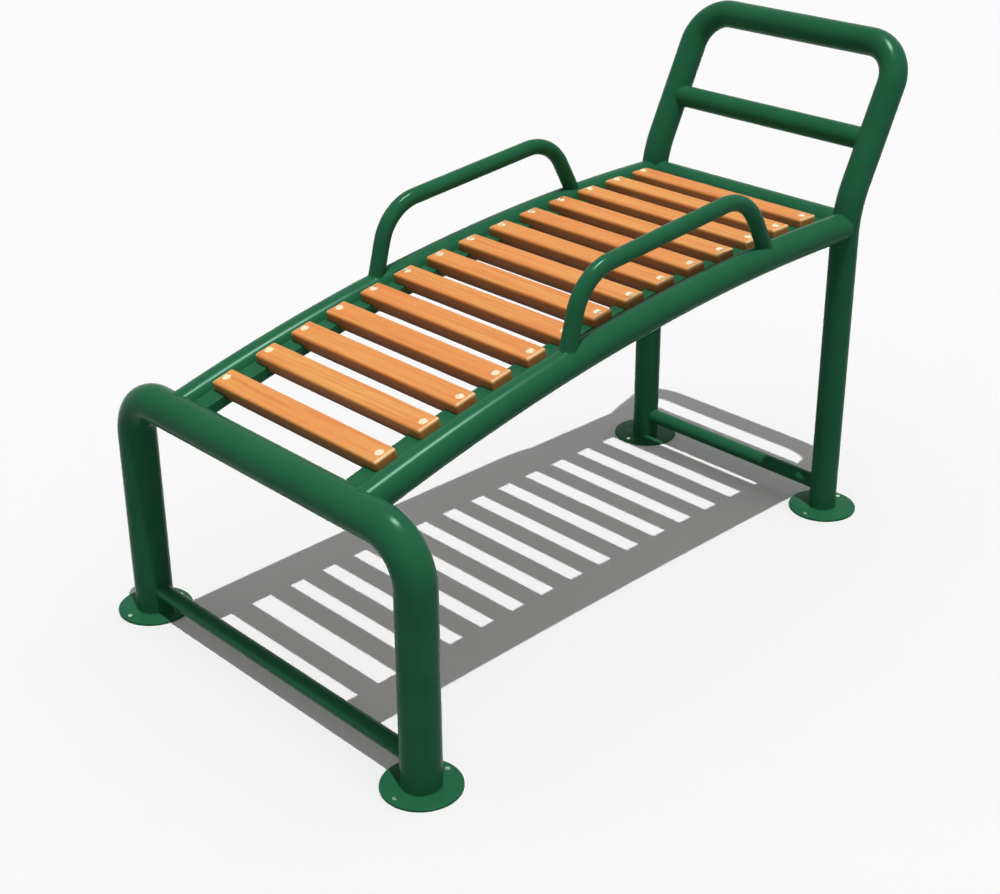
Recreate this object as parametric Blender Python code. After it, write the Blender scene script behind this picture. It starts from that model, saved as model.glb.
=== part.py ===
"""Outdoor sit-up bench: a welded frame of bent round tube that carries an arched seat of bolted slats.

Frame: X runs along the bench from the low front end (-X) to the back hoop (+X), Y across it, Z up.
The origin is on the floor, under the centre of the bench's bounding box. Lengths are in metres.
"""

import math

import bmesh
import bpy
from mathutils import Matrix, Vector

# Tubes: outside diameters and walls
FRONT_TUBE_D = 0.0761
REAR_TUBE_D = 0.0603
RAIL_TUBE_D = 0.0603
FOOT_TUBE_D = 0.0483
SLIM_TUBE_D = 0.0337
THICK_WALL = 0.0032
SLIM_WALL = 0.0026

# Front hoop
FRONT_LEG_SPACING = 0.832
FRONT_BAR_HEIGHT = 0.487
FRONT_BEND_R = 0.090
FRONT_TIE_HEIGHT = 0.052

# Rear hoop, from the seat bend up along the tilted back
FRAME_LENGTH = 1.340
REAR_LEG_SPACING = 0.545
SEAT_BEND_HEIGHT = 0.7125
SEAT_BEND_R = 0.243
BACK_TILT = math.radians(26.6)
BACK_LENGTH = 0.353
BACK_CORNER_R = 0.081
FOOT_BAR_ALONG_BACK = 0.150
REAR_TIE_HEIGHT = 0.056

# Seat arc: the rails' centreline, highest a little in front of the rear legs
SEAT_ARC_R = 4.500
SEAT_TOP_HEIGHT = 0.6755
SEAT_TOP_FROM_FRONT = 1.270
REAR_CROSS_HEIGHT = 0.675
COPE_SETBACK = 0.010

# Ledges: unequal angle, wide leg level under the slat ends, narrow leg turned down
LEDGE_WIDTH = 0.038
LEDGE_DROP = 0.022
LEDGE_T = 0.003

# Slats, their ends rebated to lie on the ledges and their middles down between them
SLAT_COUNT = 14
SLAT_LENGTH = 0.480
SLAT_WIDTH = 0.050
SLAT_T = 0.030
SLAT_END_T = 0.019
SLAT_SHOULDER_PLAY = 0.002
SLAT_EDGE_R = 0.0045
SLAT_ABOVE_RAIL = 0.0008
SLAT_PITCH = 0.0893
FIRST_SLAT_EXTRA = 0.015
LAST_SLAT_FROM_REAR_LEG = 0.0885

# Slat bolts
BOLT_SPACING = 0.4475
BOLT_D = 0.008
BOLT_HOLE_D = 0.0092
BOLT_HEAD_D = 0.0175
BOLT_HEAD_H = 0.0045
DOME_SHOULDER = (0.78, 0.68)
BOLT_TAIL = 0.003
WASHER_D = 0.016
WASHER_T = 0.0016
NUT_FLATS = 0.013
NUT_H = 0.0065
NUT_SIDES = 6

# Handles: corner points as distance behind the front legs and height above the floor
HANDLE_FRONT_FOOT = (0.4930, 0.6087)
HANDLE_FRONT_CORNER = (0.5355, 0.7717)
HANDLE_REAR_CORNER = (0.9966, 0.8197)
HANDLE_REAR_FOOT = (1.0776, 0.6714)
HANDLE_BEND_R = 0.1035

# Floor plates
PLATE_D = 0.150
PLATE_T = 0.005
PLATE_HOLE_SPACING = 0.122
PLATE_HOLE_D = 0.0080

# Play between pieces that touch
GAP = 0.0003
# How far a cutter runs past what it cuts
OVERSHOOT = 0.010
# Points nearer than this are one point
MERGE_DISTANCE = 1e-6

# Facets
MAIN_SIDES = 20
SLIM_SIDES = 16
BORE_SIDES = 10
BOLT_SIDES = 8
PLATE_SIDES = 32
BEND_STEPS = 6
SEAT_BEND_STEPS = 4
SEAT_STEPS = 14
SLAT_EDGE_STEPS = 2
SMOOTH_ANGLE = math.radians(32)

# Worked out from the sizes above
FRONT_R = FRONT_TUBE_D / 2
REAR_R = REAR_TUBE_D / 2
RAIL_R = RAIL_TUBE_D / 2
FOOT_R = FOOT_TUBE_D / 2
SLIM_R = SLIM_TUBE_D / 2
BACK_REACH = BACK_LENGTH * math.sin(BACK_TILT) + REAR_R
FRONT_X = (PLATE_D / 2 - FRAME_LENGTH - BACK_REACH) / 2
REAR_X = FRONT_X + FRAME_LENGTH
FRONT_Y = FRONT_LEG_SPACING / 2
REAR_Y = REAR_LEG_SPACING / 2
LEG_FOOT_Z = PLATE_T + GAP
ARC_CENTRE_X = FRONT_X + SEAT_TOP_FROM_FRONT
ARC_CENTRE_Z = SEAT_TOP_HEIGHT - SEAT_ARC_R
SLAT_TOP = RAIL_R + SLAT_ABOVE_RAIL
LEDGE_TOP = SLAT_TOP - SLAT_END_T - GAP
LEDGE_UNDER = LEDGE_TOP - LEDGE_T
BACK_UP = Vector((math.sin(BACK_TILT), 0, math.cos(BACK_TILT)))
SIDES = {"left": 1, "right": -1}


def clear_scene():
    """Empty the scene of whatever it opened with."""
    for obj in list(bpy.data.objects):
        bpy.data.objects.remove(obj)


def paint_material(name, colour, roughness, metallic):
    """Make a Principled BSDF material."""
    material = bpy.data.materials.new(name)
    material.use_nodes = True
    shader = material.node_tree.nodes["Principled BSDF"]
    shader.inputs["Base Color"].default_value = (*colour, 1)
    shader.inputs["Roughness"].default_value = roughness
    shader.inputs["Metallic"].default_value = metallic
    return material


def green_powder_coat():
    """Glossy dark green paint of all the steelwork."""
    return paint_material("green_powder_coat", (0.014, 0.165, 0.075), 0.35, 0.0)


def oiled_hardwood():
    """Orange-brown timber of the slats."""
    return paint_material("oiled_hardwood", (0.80, 0.33, 0.095), 0.55, 0.0)


def bright_steel():
    """Bare stainless steel of the bolts."""
    return paint_material("bright_steel", (0.82, 0.80, 0.76), 0.30, 1.0)


def add_object(name, mesh, material=None):
    """Link a mesh to the scene as an object, shaded smooth with its real edges kept sharp."""
    mesh.name = name
    mesh.shade_smooth()
    mesh.set_sharp_from_angle(angle=SMOOTH_ANGLE)
    obj = bpy.data.objects.new(name, mesh)
    bpy.context.scene.collection.objects.link(obj)
    if material:
        mesh.materials.clear()
        mesh.materials.append(material)
    return obj


def evaluated_mesh(obj):
    """A new mesh with the object's modifiers and curve bevel applied."""
    graph = bpy.context.evaluated_depsgraph_get()
    return bpy.data.meshes.new_from_object(obj.evaluated_get(graph))


def welded(mesh):
    """Join the mesh's doubled points and turn its faces outwards."""
    bm = bmesh.new()
    bm.from_mesh(mesh)
    bmesh.ops.remove_doubles(bm, verts=bm.verts, dist=MERGE_DISTANCE)
    bmesh.ops.recalc_face_normals(bm, faces=bm.faces)
    bm.to_mesh(mesh)
    bm.free()
    return mesh


def rod_mesh(points, radius, sides):
    """A solid round bar along the points, from a curve with a bevel and filled caps."""
    curve = bpy.data.curves.new("rod", "CURVE")
    curve.dimensions = "3D"
    curve.bevel_depth = radius
    curve.bevel_resolution = sides // 2 - 2
    curve.use_fill_caps = True
    spline = curve.splines.new("POLY")
    spline.points.add(len(points) - 1)
    for target, point in zip(spline.points, points):
        target.co = (*point, 1)
    guide = bpy.data.objects.new("rod", curve)
    bpy.context.scene.collection.objects.link(guide)
    mesh = welded(evaluated_mesh(guide))
    bpy.data.objects.remove(guide)
    bpy.data.curves.remove(curve)
    return mesh


def lengthened(points, extra):
    """The path with both ends moved out along its own direction."""
    first = points[0] + (points[0] - points[1]).normalized() * extra
    last = points[-1] + (points[-1] - points[-2]).normalized() * extra
    return [first, *points[1:-1], last]


def rounded_path(corners, bends):
    """Points along straight runs joined by round bends: a radius and a step count for each."""
    path = [corners[0]]
    for before, corner, after, bend in zip(corners, corners[1:], corners[2:], bends):
        radius, steps = bend
        back = (before - corner).normalized()
        ahead = (after - corner).normalized()
        half = back.angle(ahead) / 2
        centre = corner + (back + ahead).normalized() * radius / math.sin(half)
        start = corner + back * radius / math.tan(half) - centre
        turn = math.pi - 2 * half
        axis = start.cross(-back).normalized()
        for step in range(steps + 1):
            path.append(centre + Matrix.Rotation(turn * step / steps, 3, axis) @ start)
    path.append(corners[-1])
    return path


def combined(mesh, others, operation="DIFFERENCE"):
    """The mesh with the other meshes taken out of it or joined to it, one after another."""
    body = add_object("body", mesh)
    helpers = []
    for other in others:
        helper = add_object("helper", other)
        helper.hide_render = True
        helper.display_type = "WIRE"
        modifier = body.modifiers.new("combine", "BOOLEAN")
        modifier.operation = operation
        modifier.solver = "EXACT"
        modifier.object = helper
        helpers.append(helper)
    result = evaluated_mesh(body)
    for used in [body, *helpers]:
        bpy.data.objects.remove(used)
    return welded(result)


def tube(name, points, radius, wall, sides, material, cutters=()):
    """A hollow tube along the points, its ends shaped by the cutters."""
    bore = rod_mesh(lengthened(points, OVERSHOOT), radius - wall, BORE_SIDES)
    mesh = combined(rod_mesh(points, radius, sides), [bore, *cutters])
    return add_object(name, mesh, material)


def front_hoop_path():
    """Up one front leg, over the cross bar and down the other."""
    corners = [
        Vector((FRONT_X, -FRONT_Y, LEG_FOOT_Z)),
        Vector((FRONT_X, -FRONT_Y, FRONT_BAR_HEIGHT)),
        Vector((FRONT_X, FRONT_Y, FRONT_BAR_HEIGHT)),
        Vector((FRONT_X, FRONT_Y, LEG_FOOT_Z)),
    ]
    bend = (FRONT_BEND_R, BEND_STEPS)
    return rounded_path(corners, [bend, bend])


def rear_hoop_path():
    """Up one rear leg, back along the tilted hoop, across its top and down the other side."""
    def at(side, height, along):
        return Vector((REAR_X, side * REAR_Y, height)) + BACK_UP * along

    corners = [
        at(-1, LEG_FOOT_Z, 0),
        at(-1, SEAT_BEND_HEIGHT, 0),
        at(-1, SEAT_BEND_HEIGHT, BACK_LENGTH),
        at(1, SEAT_BEND_HEIGHT, BACK_LENGTH),
        at(1, SEAT_BEND_HEIGHT, 0),
        at(1, LEG_FOOT_Z, 0),
    ]
    seat_bend = (SEAT_BEND_R, SEAT_BEND_STEPS)
    top_bend = (BACK_CORNER_R, BEND_STEPS)
    return rounded_path(corners, [seat_bend, top_bend, top_bend, seat_bend])


def seat_angle(x):
    """The angle along the seat arc at which the rails' centreline is at x."""
    return math.asin((x - ARC_CENTRE_X) / SEAT_ARC_R)


def seat_frame(angle, across=0.0):
    """Local frame on the seat arc: x along the seat, y across, z out of it."""
    lean = Matrix.Rotation(angle, 4, "Y")
    centre = Matrix.Translation((ARC_CENTRE_X, across, ARC_CENTRE_Z))
    return centre @ lean @ Matrix.Translation((0, 0, SEAT_ARC_R))


def rail_path(side, setback):
    """The rail's centreline, from the front bar's axis to short of the rear leg's axis."""
    start = seat_angle(FRONT_X)
    end = seat_angle(REAR_X - setback)
    angles = [start + (end - start) * step / SEAT_STEPS for step in range(SEAT_STEPS + 1)]
    return [seat_frame(angle, side * REAR_Y).translation for angle in angles]


def handle_path(side):
    """From the front foot on the rail, over the hand grip, to the rear foot."""
    corners = [
        Vector((FRONT_X + along, side * REAR_Y, height))
        for along, height in (
            HANDLE_FRONT_FOOT,
            HANDLE_FRONT_CORNER,
            HANDLE_REAR_CORNER,
            HANDLE_REAR_FOOT,
        )
    ]
    bend = (HANDLE_BEND_R, BEND_STEPS)
    return rounded_path(corners, [bend, bend])


def across_path(x, z, half):
    """A straight path across the bench."""
    return [Vector((x, -half, z)), Vector((x, half, z))]


def front_hoop_cutter():
    """The front hoop as a solid, larger by the play, to shape what is welded to it."""
    return rod_mesh(lengthened(front_hoop_path(), OVERSHOOT), FRONT_R + GAP, MAIN_SIDES)


def rear_hoop_cutter():
    """The rear hoop as a solid, larger by the play, to shape what is welded to it."""
    return rod_mesh(lengthened(rear_hoop_path(), OVERSHOOT), REAR_R + GAP, MAIN_SIDES)


def rail_cutter(side):
    """A rail as a solid, larger by the play, to shape what is welded to it."""
    return rod_mesh(rail_path(side, COPE_SETBACK - GAP), RAIL_R + GAP, MAIN_SIDES)


def rear_cross_path():
    """Between the rear legs, stopping short of the rails' axes."""
    return across_path(REAR_X, REAR_CROSS_HEIGHT, REAR_Y - COPE_SETBACK)


def build_hoops(paint):
    """The two bent hoops that are the bench's legs."""
    tube("front_hoop", front_hoop_path(), FRONT_R, THICK_WALL, MAIN_SIDES, paint)
    tube("rear_hoop", rear_hoop_path(), REAR_R, THICK_WALL, MAIN_SIDES, paint)


def build_cross_tubes(paint):
    """The two low tie bars, the seat's rear cross tube and the foot bar."""
    front_tie = across_path(FRONT_X, FRONT_TIE_HEIGHT, FRONT_Y)
    tube("front_tie_bar", front_tie, SLIM_R, SLIM_WALL, SLIM_SIDES, paint, [front_hoop_cutter()])
    rear_tie = across_path(REAR_X, REAR_TIE_HEIGHT, REAR_Y)
    tube("rear_tie_bar", rear_tie, SLIM_R, SLIM_WALL, SLIM_SIDES, paint, [rear_hoop_cutter()])
    foot_centre = Vector((REAR_X, 0, SEAT_BEND_HEIGHT)) + BACK_UP * FOOT_BAR_ALONG_BACK
    foot = across_path(foot_centre.x, foot_centre.z, REAR_Y)
    tube("foot_bar", foot, FOOT_R, THICK_WALL, SLIM_SIDES, paint, [rear_hoop_cutter()])
    neighbours = [rear_hoop_cutter(), rail_cutter(-1), rail_cutter(1)]
    tube("rear_cross_tube", rear_cross_path(), RAIL_R, THICK_WALL, MAIN_SIDES, paint, neighbours)


def build_rails(paint):
    """The two arched tubes that carry the seat."""
    for name, side in SIDES.items():
        neighbours = [front_hoop_cutter(), rear_hoop_cutter()]
        path = rail_path(side, COPE_SETBACK)
        tube(f"seat_rail_{name}", path, RAIL_R, THICK_WALL, MAIN_SIDES, paint, neighbours)


def build_handles(paint):
    """The bent hand grips on top of the rails."""
    for name, side in SIDES.items():
        path = handle_path(side)
        tube(f"handle_{name}", path, SLIM_R, SLIM_WALL, SLIM_SIDES, paint, [rail_cutter(side)])


def slat_angles():
    """Where each slat stands on the seat arc, counted from the front."""
    top_r = SEAT_ARC_R + SLAT_TOP
    last = seat_angle(REAR_X - LAST_SLAT_FROM_REAR_LEG)
    angles = [last - SLAT_PITCH * back / top_r for back in range(SLAT_COUNT)]
    angles[-1] -= FIRST_SLAT_EXTRA / top_r
    return angles[::-1]


def rail_skin_y(height):
    """How far from the bench's middle a rail's inner side is, less the play, at a height on it."""
    return REAR_Y - math.sqrt(RAIL_R**2 - height**2) - GAP


def ledge_inner_y():
    """How far from the bench's middle the ledges' inner faces are."""
    return rail_skin_y(LEDGE_UNDER) - LEDGE_WIDTH


def ledge_mesh(side):
    """The angle's outline swept round the seat arc."""
    start = seat_angle(FRONT_X)
    end = seat_angle(REAR_X)
    inner = ledge_inner_y()
    bottom = LEDGE_TOP - LEDGE_DROP
    outline = [
        (rail_skin_y(LEDGE_TOP), LEDGE_TOP),
        (inner, LEDGE_TOP),
        (inner, bottom),
        (inner + LEDGE_T, bottom),
        (inner + LEDGE_T, LEDGE_UNDER),
        (rail_skin_y(LEDGE_UNDER), LEDGE_UNDER),
    ]
    place = seat_frame(start)
    bm = bmesh.new()
    corners = [bm.verts.new(place @ Vector((0, side * y, z))) for y, z in outline]
    face = bm.faces.new(corners)
    bmesh.ops.spin(
        bm,
        geom=[face, *face.edges, *face.verts],
        cent=(ARC_CENTRE_X, 0, ARC_CENTRE_Z),
        axis=(0, 1, 0),
        angle=end - start,
        steps=SEAT_STEPS,
    )
    bmesh.ops.recalc_face_normals(bm, faces=bm.faces)
    mesh = bpy.data.meshes.new("ledge")
    bm.to_mesh(mesh)
    bm.free()
    return mesh


def pins_mesh(places, radius, low, high, sides=BOLT_SIDES):
    """Round pins, one in each place, from low to high along its z axis."""
    bm = bmesh.new()
    for place in places:
        middle = place @ Matrix.Translation((0, 0, (low + high) / 2))
        bmesh.ops.create_cone(
            bm,
            cap_ends=True,
            segments=sides,
            radius1=radius,
            radius2=radius,
            depth=high - low,
            matrix=middle,
        )
    mesh = bpy.data.meshes.new("pins")
    bm.to_mesh(mesh)
    bm.free()
    return mesh


def build_ledges(paint):
    """The angles inside the rails, with a hole under every slat bolt."""
    holes_from = LEDGE_UNDER - OVERSHOOT
    holes_to = LEDGE_TOP + OVERSHOOT
    for name, side in SIDES.items():
        places = [seat_frame(angle, side * BOLT_SPACING / 2) for angle in slat_angles()]
        holes = pins_mesh(places, BOLT_HOLE_D / 2, holes_from, holes_to)
        rear_cross = rod_mesh(rear_cross_path(), RAIL_R + GAP, MAIN_SIDES)
        cutters = [front_hoop_cutter(), rear_cross, holes]
        add_object(f"slat_ledge_{name}", combined(ledge_mesh(side), cutters), paint)


def block_mesh(centre, size, edge_r=0.0):
    """A rectangular block, its edges rounded to the radius."""
    bm = bmesh.new()
    place = Matrix.Translation(centre) @ Matrix.Diagonal((*size, 1))
    bmesh.ops.create_cube(bm, size=1, matrix=place)
    if edge_r:
        bmesh.ops.bevel(
            bm,
            geom=list(bm.edges),
            offset=edge_r,
            segments=SLAT_EDGE_STEPS,
            profile=0.5,
            affect="EDGES",
        )
    mesh = bpy.data.meshes.new("block")
    bm.to_mesh(mesh)
    bm.free()
    return mesh


def slat_mesh():
    """One slat about the rails' centreline height: rounded edges, rebated ends and two bolt holes."""
    middle = (0, 0, SLAT_TOP - SLAT_T / 2)
    body = block_mesh(middle, (SLAT_WIDTH, SLAT_LENGTH, SLAT_T), SLAT_EDGE_R)
    shoulder = ledge_inner_y() - SLAT_SHOULDER_PLAY
    run = SLAT_LENGTH / 2 + OVERSHOOT - shoulder
    depth = SLAT_T - SLAT_END_T + OVERSHOOT
    rebate_z = SLAT_TOP - SLAT_END_T - depth / 2
    cutters = []
    places = []
    for side in SIDES.values():
        rebate = (0, side * (shoulder + run / 2), rebate_z)
        cutters.append(block_mesh(rebate, (SLAT_WIDTH + OVERSHOOT, run, depth)))
        places.append(Matrix.Translation((0, side * BOLT_SPACING / 2, 0)))
    holes = pins_mesh(places, BOLT_HOLE_D / 2, LEDGE_TOP - OVERSHOOT, SLAT_TOP + OVERSHOOT)
    return combined(body, [*cutters, holes])


def build_slats(wood):
    """The slats, side by side along the seat arc."""
    shared = slat_mesh()
    for number, angle in enumerate(slat_angles(), start=1):
        slat = add_object(f"slat_{number:02d}", shared, wood)
        slat.matrix_world = seat_frame(angle)


def turned_mesh(profile, sides):
    """A solid turned about z from (radius, height) points that start and end on the axis."""
    bm = bmesh.new()
    points = [bm.verts.new((radius, 0, height)) for radius, height in profile]
    edges = [bm.edges.new(pair) for pair in zip(points, points[1:])]
    bmesh.ops.spin(
        bm,
        geom=[*points, *edges],
        cent=(0, 0, 0),
        axis=(0, 0, 1),
        angle=math.tau,
        steps=sides,
        use_merge=True,
    )
    bmesh.ops.remove_doubles(bm, verts=bm.verts, dist=MERGE_DISTANCE)
    bmesh.ops.recalc_face_normals(bm, faces=bm.faces)
    mesh = bpy.data.meshes.new("turned")
    bm.to_mesh(mesh)
    bm.free()
    return mesh


def fastener_mesh():
    """A dome-headed bolt with the washer and the nut that hold it, about the rails' centreline."""
    seat = SLAT_TOP + GAP
    washer_top = LEDGE_UNDER - GAP
    washer_bottom = washer_top - WASHER_T
    nut_bottom = washer_bottom - NUT_H
    shank_r = BOLT_D / 2
    head_r = BOLT_HEAD_D / 2
    profile = [
        (0, nut_bottom - BOLT_TAIL),
        (shank_r, nut_bottom - BOLT_TAIL),
        (shank_r, washer_bottom),
        (WASHER_D / 2, washer_bottom),
        (WASHER_D / 2, washer_top),
        (shank_r, washer_top),
        (shank_r, seat),
        (head_r, seat),
        (head_r * DOME_SHOULDER[0], seat + BOLT_HEAD_H * DOME_SHOULDER[1]),
        (0, seat + BOLT_HEAD_H),
    ]
    nut_r = NUT_FLATS / 2 / math.cos(math.pi / NUT_SIDES)
    nut_top = washer_bottom + WASHER_T / 2
    nut = pins_mesh([Matrix.Identity(4)], nut_r, nut_bottom, nut_top, NUT_SIDES)
    return combined(turned_mesh(profile, BOLT_SIDES), [nut], "UNION")


def build_fasteners(steel):
    """One bolt with its washer and nut through each end of each slat."""
    shared = fastener_mesh()
    for number, angle in enumerate(slat_angles(), start=1):
        for name, side in SIDES.items():
            bolt = add_object(f"slat_bolt_{number:02d}_{name}", shared, steel)
            bolt.matrix_world = seat_frame(angle, side * BOLT_SPACING / 2)


def leg_places():
    """Name and place on the floor of every leg."""
    places = {}
    for end, x, y in (("front", FRONT_X, FRONT_Y), ("rear", REAR_X, REAR_Y)):
        for name, side in SIDES.items():
            places[f"{end}_{name}"] = Matrix.Translation((x, side * y, 0))
    return places


def anchor_offsets():
    """The two holes of a floor plate, in front of and behind the leg."""
    half = PLATE_HOLE_SPACING / 2
    return [Matrix.Translation((x, 0, 0)) for x in (-half, half)]


def build_floor_plates(paint):
    """The round plates that the legs stand on."""
    disc = pins_mesh([Matrix.Identity(4)], PLATE_D / 2, 0, PLATE_T, PLATE_SIDES)
    holes = pins_mesh(anchor_offsets(), PLATE_HOLE_D / 2, -OVERSHOOT, PLATE_T + OVERSHOOT)
    shared = combined(disc, [holes])
    for name, place in leg_places().items():
        plate = add_object(f"floor_plate_{name}", shared, paint)
        plate.matrix_world = place


def main():
    """Build the whole bench."""
    clear_scene()
    paint = green_powder_coat()
    wood = oiled_hardwood()
    steel = bright_steel()
    build_hoops(paint)
    build_cross_tubes(paint)
    build_rails(paint)
    build_handles(paint)
    build_ledges(paint)
    build_slats(wood)
    build_fasteners(steel)
    build_floor_plates(paint)


main()
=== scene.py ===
"""Looks of an outdoor sit-up bench: a painted frame of bent tube with an arched seat of bolted slats.

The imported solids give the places. X runs along the bench from the low front end to the back hoop,
Y across it and Z up, with the origin on the floor under the middle of the bench. Lengths are metres.
"""

import logging
import math
from collections.abc import Collection, Mapping, Sequence
from dataclasses import dataclass, field
from enum import Enum

import bmesh
import bpy
from bpy.types import Material, Mesh, Node, NodeSocket, Object
from mathutils import Matrix, Vector
from mathutils.bvhtree import BVHTree


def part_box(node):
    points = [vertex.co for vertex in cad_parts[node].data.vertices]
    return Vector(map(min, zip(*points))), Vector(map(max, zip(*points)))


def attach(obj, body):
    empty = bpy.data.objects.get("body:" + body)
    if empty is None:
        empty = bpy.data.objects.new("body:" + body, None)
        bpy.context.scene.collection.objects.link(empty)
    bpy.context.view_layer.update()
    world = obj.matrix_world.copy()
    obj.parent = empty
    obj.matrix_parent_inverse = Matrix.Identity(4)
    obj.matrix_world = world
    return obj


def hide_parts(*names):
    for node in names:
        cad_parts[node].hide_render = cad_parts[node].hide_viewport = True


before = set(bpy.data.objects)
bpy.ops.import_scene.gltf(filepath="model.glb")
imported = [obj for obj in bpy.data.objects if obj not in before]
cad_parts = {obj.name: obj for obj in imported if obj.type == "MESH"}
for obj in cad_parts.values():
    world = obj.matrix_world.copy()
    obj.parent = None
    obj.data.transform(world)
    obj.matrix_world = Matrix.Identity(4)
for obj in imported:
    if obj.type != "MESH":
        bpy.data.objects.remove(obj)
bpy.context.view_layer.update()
LOG = logging.getLogger("bench")

# The one body that every piece rides on, because nothing on the bench moves
BODY = "root"
SIDES = {"left": 1, "right": -1}
MERGE_DISTANCE = 1e-6
SMOOTH_ANGLE = math.radians(32)
# How far a cutter runs past what it cuts
OVERSHOOT = 0.010

Colour = tuple[float, float, float]
Pair = tuple[float, float]


class Slot(Enum):
    """The record's material slots."""

    GREEN = "green_powder_coat"
    WOOD = "oiled_hardwood"
    STEEL = "bright_steel"


class Cut(Enum):
    """How a Boolean modifier combines two meshes."""

    TAKE_OUT = "DIFFERENCE"
    KEEP_SHARED = "INTERSECT"


class NodeTree:
    """A node tree in the making, with short calls that add its nodes and join them."""

    def __init__(self, tree: bpy.types.NodeTree) -> None:
        """Keep the tree that the nodes go into."""
        self.tree = tree

    @classmethod
    def group(
        cls, name: str, kind: str, outputs: Mapping[str, str], inputs: Sequence[tuple[str, str, object]]
    ) -> tuple["NodeTree", Mapping[str, NodeSocket]]:
        """Start a new node group.

        Args:
            name: The group's name.
            kind: ShaderNodeTree or GeometryNodeTree.
            outputs: The kind of each output by its name, such as Float.
            inputs: The name, kind and default value of each input.

        Returns:
            The tree, and the sockets that give its inputs.
        """
        nodes = cls(bpy.data.node_groups.new(name, kind))
        sockets = nodes.tree.interface
        for label, of_kind in outputs.items():
            sockets.new_socket(label, in_out="OUTPUT", socket_type=f"NodeSocket{of_kind}")
        for label, of_kind, default in inputs:
            made = sockets.new_socket(label, in_out="INPUT", socket_type=f"NodeSocket{of_kind}")
            if default is not None:
                made.default_value = default
        return nodes, nodes.add("NodeGroupInput").outputs

    @classmethod
    def geometry(
        cls, name: str, sizes: Sequence[tuple[str, str, object]]
    ) -> tuple["NodeTree", Mapping[str, NodeSocket]]:
        """Start a Geometry Nodes group that takes a shape, some sizes and a material.

        Args:
            name: The group's name.
            sizes: The name, kind and default value of each size.

        Returns:
            The tree, and the sockets that give its inputs.
        """
        inputs = [("Geometry", "Geometry", None), *sizes, ("Material", "Material", None)]
        return cls.group(name, "GeometryNodeTree", {"Geometry": "Geometry"}, inputs)

    def ended(self, geometry: Node, material: NodeSocket) -> bpy.types.NodeTree:
        """End a Geometry Nodes group with real geometry that has its material.

        Args:
            geometry: The node that gives the shape.
            material: The group's material.

        Returns:
            The finished tree.
        """
        real = self.add("GeometryNodeRealizeInstances", {"Geometry": geometry})
        painted = self.add("GeometryNodeSetMaterial", {"Geometry": real, "Material": material})
        self.add("NodeGroupOutput", {"Geometry": painted})
        return self.tree

    def add(self, kind: str, inputs: Mapping[object, object] | None = None, **settings: object) -> Node:
        """Add a node.

        Args:
            kind: The node's type.
            inputs: What goes into its inputs, by name or number: a value, a socket or a node.
            settings: The node's own properties.

        Returns:
            The new node.
        """
        node = self.tree.nodes.new(kind)
        for key, value in settings.items():
            setattr(node, key, value)
        self.fill(node, inputs or {})
        return node

    def fill(self, node: Node, inputs: Mapping[object, object]) -> None:
        """Set or join inputs of a node.

        Args:
            node: The node.
            inputs: What goes into them, by name or number: a value, a socket or a node.
        """
        for key, value in inputs.items():
            if isinstance(key, str):
                target = next(socket for socket in node.inputs if socket.enabled and socket.name == key)
            else:
                target = node.inputs[key]
            if isinstance(value, Node):
                value = next(socket for socket in value.outputs if socket.enabled)
            if isinstance(value, NodeSocket):
                self.tree.links.new(value, target)
            else:
                target.default_value = (*value, 1.0) if target.type == "RGBA" else value

    def math(self, operation: str, *values: object) -> NodeSocket:
        """Add a maths node of one to three values and return its result."""
        return self.add("ShaderNodeMath", dict(enumerate(values)), operation=operation).outputs[0]

    def vector_math(self, operation: str, first: object, second: object) -> NodeSocket:
        """Add a vector maths node and return its result."""
        return self.add("ShaderNodeVectorMath", {0: first, 1: second}, operation=operation).outputs[0]

    def spread(self, value: object, ends: Pair) -> Node:
        """Stretch a value from 0 to 1 between two ends."""
        return self.add("ShaderNodeMapRange", {"Value": value, "To Min": ends[0], "To Max": ends[1]})

    def ramp(self, value: object, band: Pair, top: float = 1.0, shape: str = "SMOOTHSTEP") -> Node:
        """Rise across a band of values.

        Args:
            value: What is read.
            band: The value at which the rise starts, from 0, and the one at which it is complete.
            top: The level that it rises to.
            shape: SMOOTHSTEP for a soft rise or LINEAR for an even one.

        Returns:
            The node with the level.
        """
        levels = {"Value": value, "From Min": band[0], "From Max": band[1], "To Max": top}
        return self.add("ShaderNodeMapRange", levels, interpolation_type=shape)

    def bumped(self, relief: Node, height: float) -> Node:
        """Turn a relief's height into a bumpy normal."""
        return self.add("ShaderNodeBump", {"Height": relief, "Distance": height})

    def mixed(self, amount: object, first: object, second: object) -> Node:
        """Mix a second colour into a first by an amount."""
        return self.add("ShaderNodeMix", {"Factor": amount, "A": first, "B": second}, data_type="RGBA")


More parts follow.
